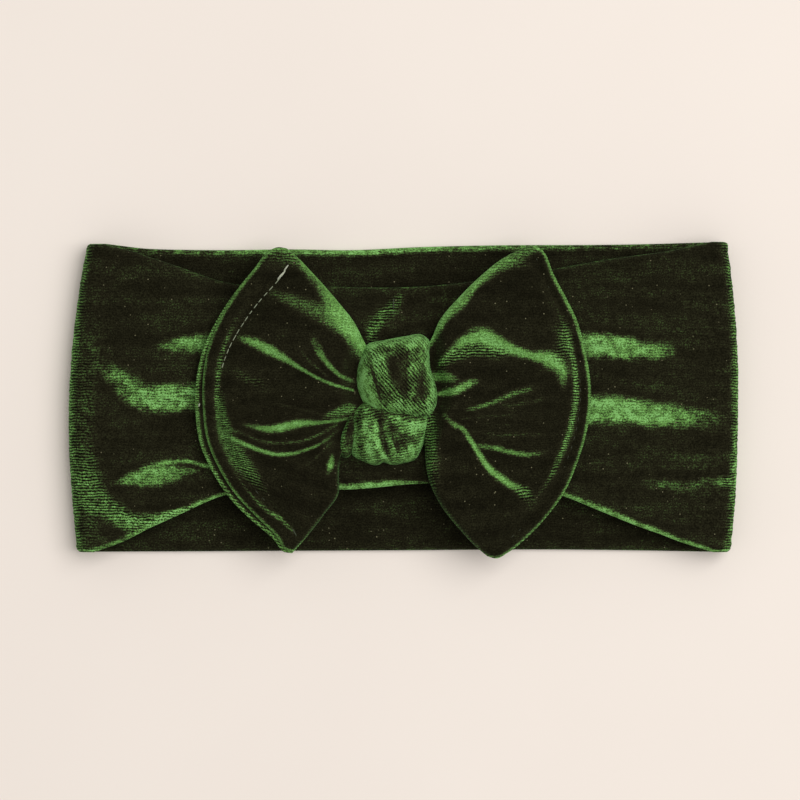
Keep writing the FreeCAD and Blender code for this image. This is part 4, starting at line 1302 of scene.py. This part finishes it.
# for each pass of the knot: its CAD node, what it lies on, and the width and length of strip it takes
KNOT_JOINS = {
    "knot_upper_cloth": ("knot_upper_wrap", "knot_core_cloth", (24.0, 26.0)),
    "knot_lower_cloth": ("knot_lower_wrap", "left_front_inner_crease", (22.0, 22.0)),
    "knot_side_tuck": ("knot_lower_wrap", "left_wing_back_cloth", (10.0, 12.0)),
    "knot_core_cloth": ("knot_core", "left_front_inner_crease", (16.0, 18.0)),
}


def layer_nodes(*stems):
    """The face and lining nodes of some parts of the loop."""
    return [f"{stem}_{ply}" for stem in stems for ply in ("face", "lining")]


def bend(obj, start, end):
    """Bakes obj's transform into its mesh; start and end, two (along, up) places, are not used."""
    start, end = ((x * MM, 0, z * MM) for x, z in (start, end))
    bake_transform(obj)


def across_crease(obj, start_side):
    """Hands bend two places, each side of the axis of the joint of obj's own name, on start_side first."""
    x, _, z = axis_of(obj.name)
    reach = start_side * CREASE_REACH
    bend(obj, (x + reach, z), (x - reach, z))


def join_band(pieces):
    """Bakes the loop pieces' transforms, lets two of them ride on their bodies, and hides the CAD nodes the
    pieces replace.
    """
    for side, name in SIDES:
        end = pieces[f"{name}_end_fold"]
        fold_x = axis_of(end.name)[0]
        back, front = f"back_{name}_outer", f"front_{name}_outer"
        bend(end, (fold_x, BACK_TOP + 0.1), (fold_x, FRONT_BOTTOM - 0.1))
        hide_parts(*layer_nodes(end.name, front, back))
        for crease, a, b, held, under in (
            ("back_inner", "back_center", f"back_{name}_inner", "laid", ()),
            ("back_outer", f"back_{name}_inner", back, "laid", ()),
            ("front_outer", f"front_{name}_inner", front, "gathered", f"{name}_back_outer_crease"),
        ):
            obj = pieces[f"{name}_{crease}_crease"]
            across_crease(obj, -side)
            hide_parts(*layer_nodes(a, b))
    middle = pieces["left_front_inner_crease"]
    across_crease(middle, -1)
    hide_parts(*layer_nodes("front_center", "front_left_inner"))
    for name, body in (
        ("front_center_right_cloth", "front_center"), ("right_front_inner_cloth", "front_right_inner"),
    ):
        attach(pieces[name], body)
        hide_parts(*layer_nodes(body))


def join_bow(wings, knot, threads):
    """Bakes the wings' transforms, lets the knot's passes and the stitches ride on their bodies, and hides
    the CAD nodes they all replace.
    """
    for side, name in SIDES:
        x, _, z = LIFT[name]
        start, end = (x - side * NECK_REACH[0], z), (x + side * NECK_REACH[1], z)
        for ply, obj in wings[name].items():
            bend(obj, start, end)
            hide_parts(f"{name}_wing_{ply}_ply")
            under = UNDER_WING[name] if ply == "back" else f"{name}_wing_back_cloth"
    for obj in knot:
        node, under, size = KNOT_JOINS[obj.name]
        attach(obj, "front_center")
        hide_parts(node)
    for obj in threads:
        side = obj.name.split("_")[0]
        body, node = f"{side}_wing", f"{side}_wing_hem_thread"
        if side == "back":
            body, node = "back_center", "center_back_seam_thread"
        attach(obj, body)
        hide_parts(node)


def dress_threads():
    """The stitches that stay as CAD nodes get the thread's material."""
    for node in ("gathering_thread", "knot_tack_thread"):
        obj = bpy.data.objects[node]
        obj.data.materials.clear()
        obj.data.materials.append(THREAD)


camera()
studio()
join_band(build_band())
join_bow({name: build_wing(name) for _, name in SIDES}, build_knot(), build_threads())
dress_threads()
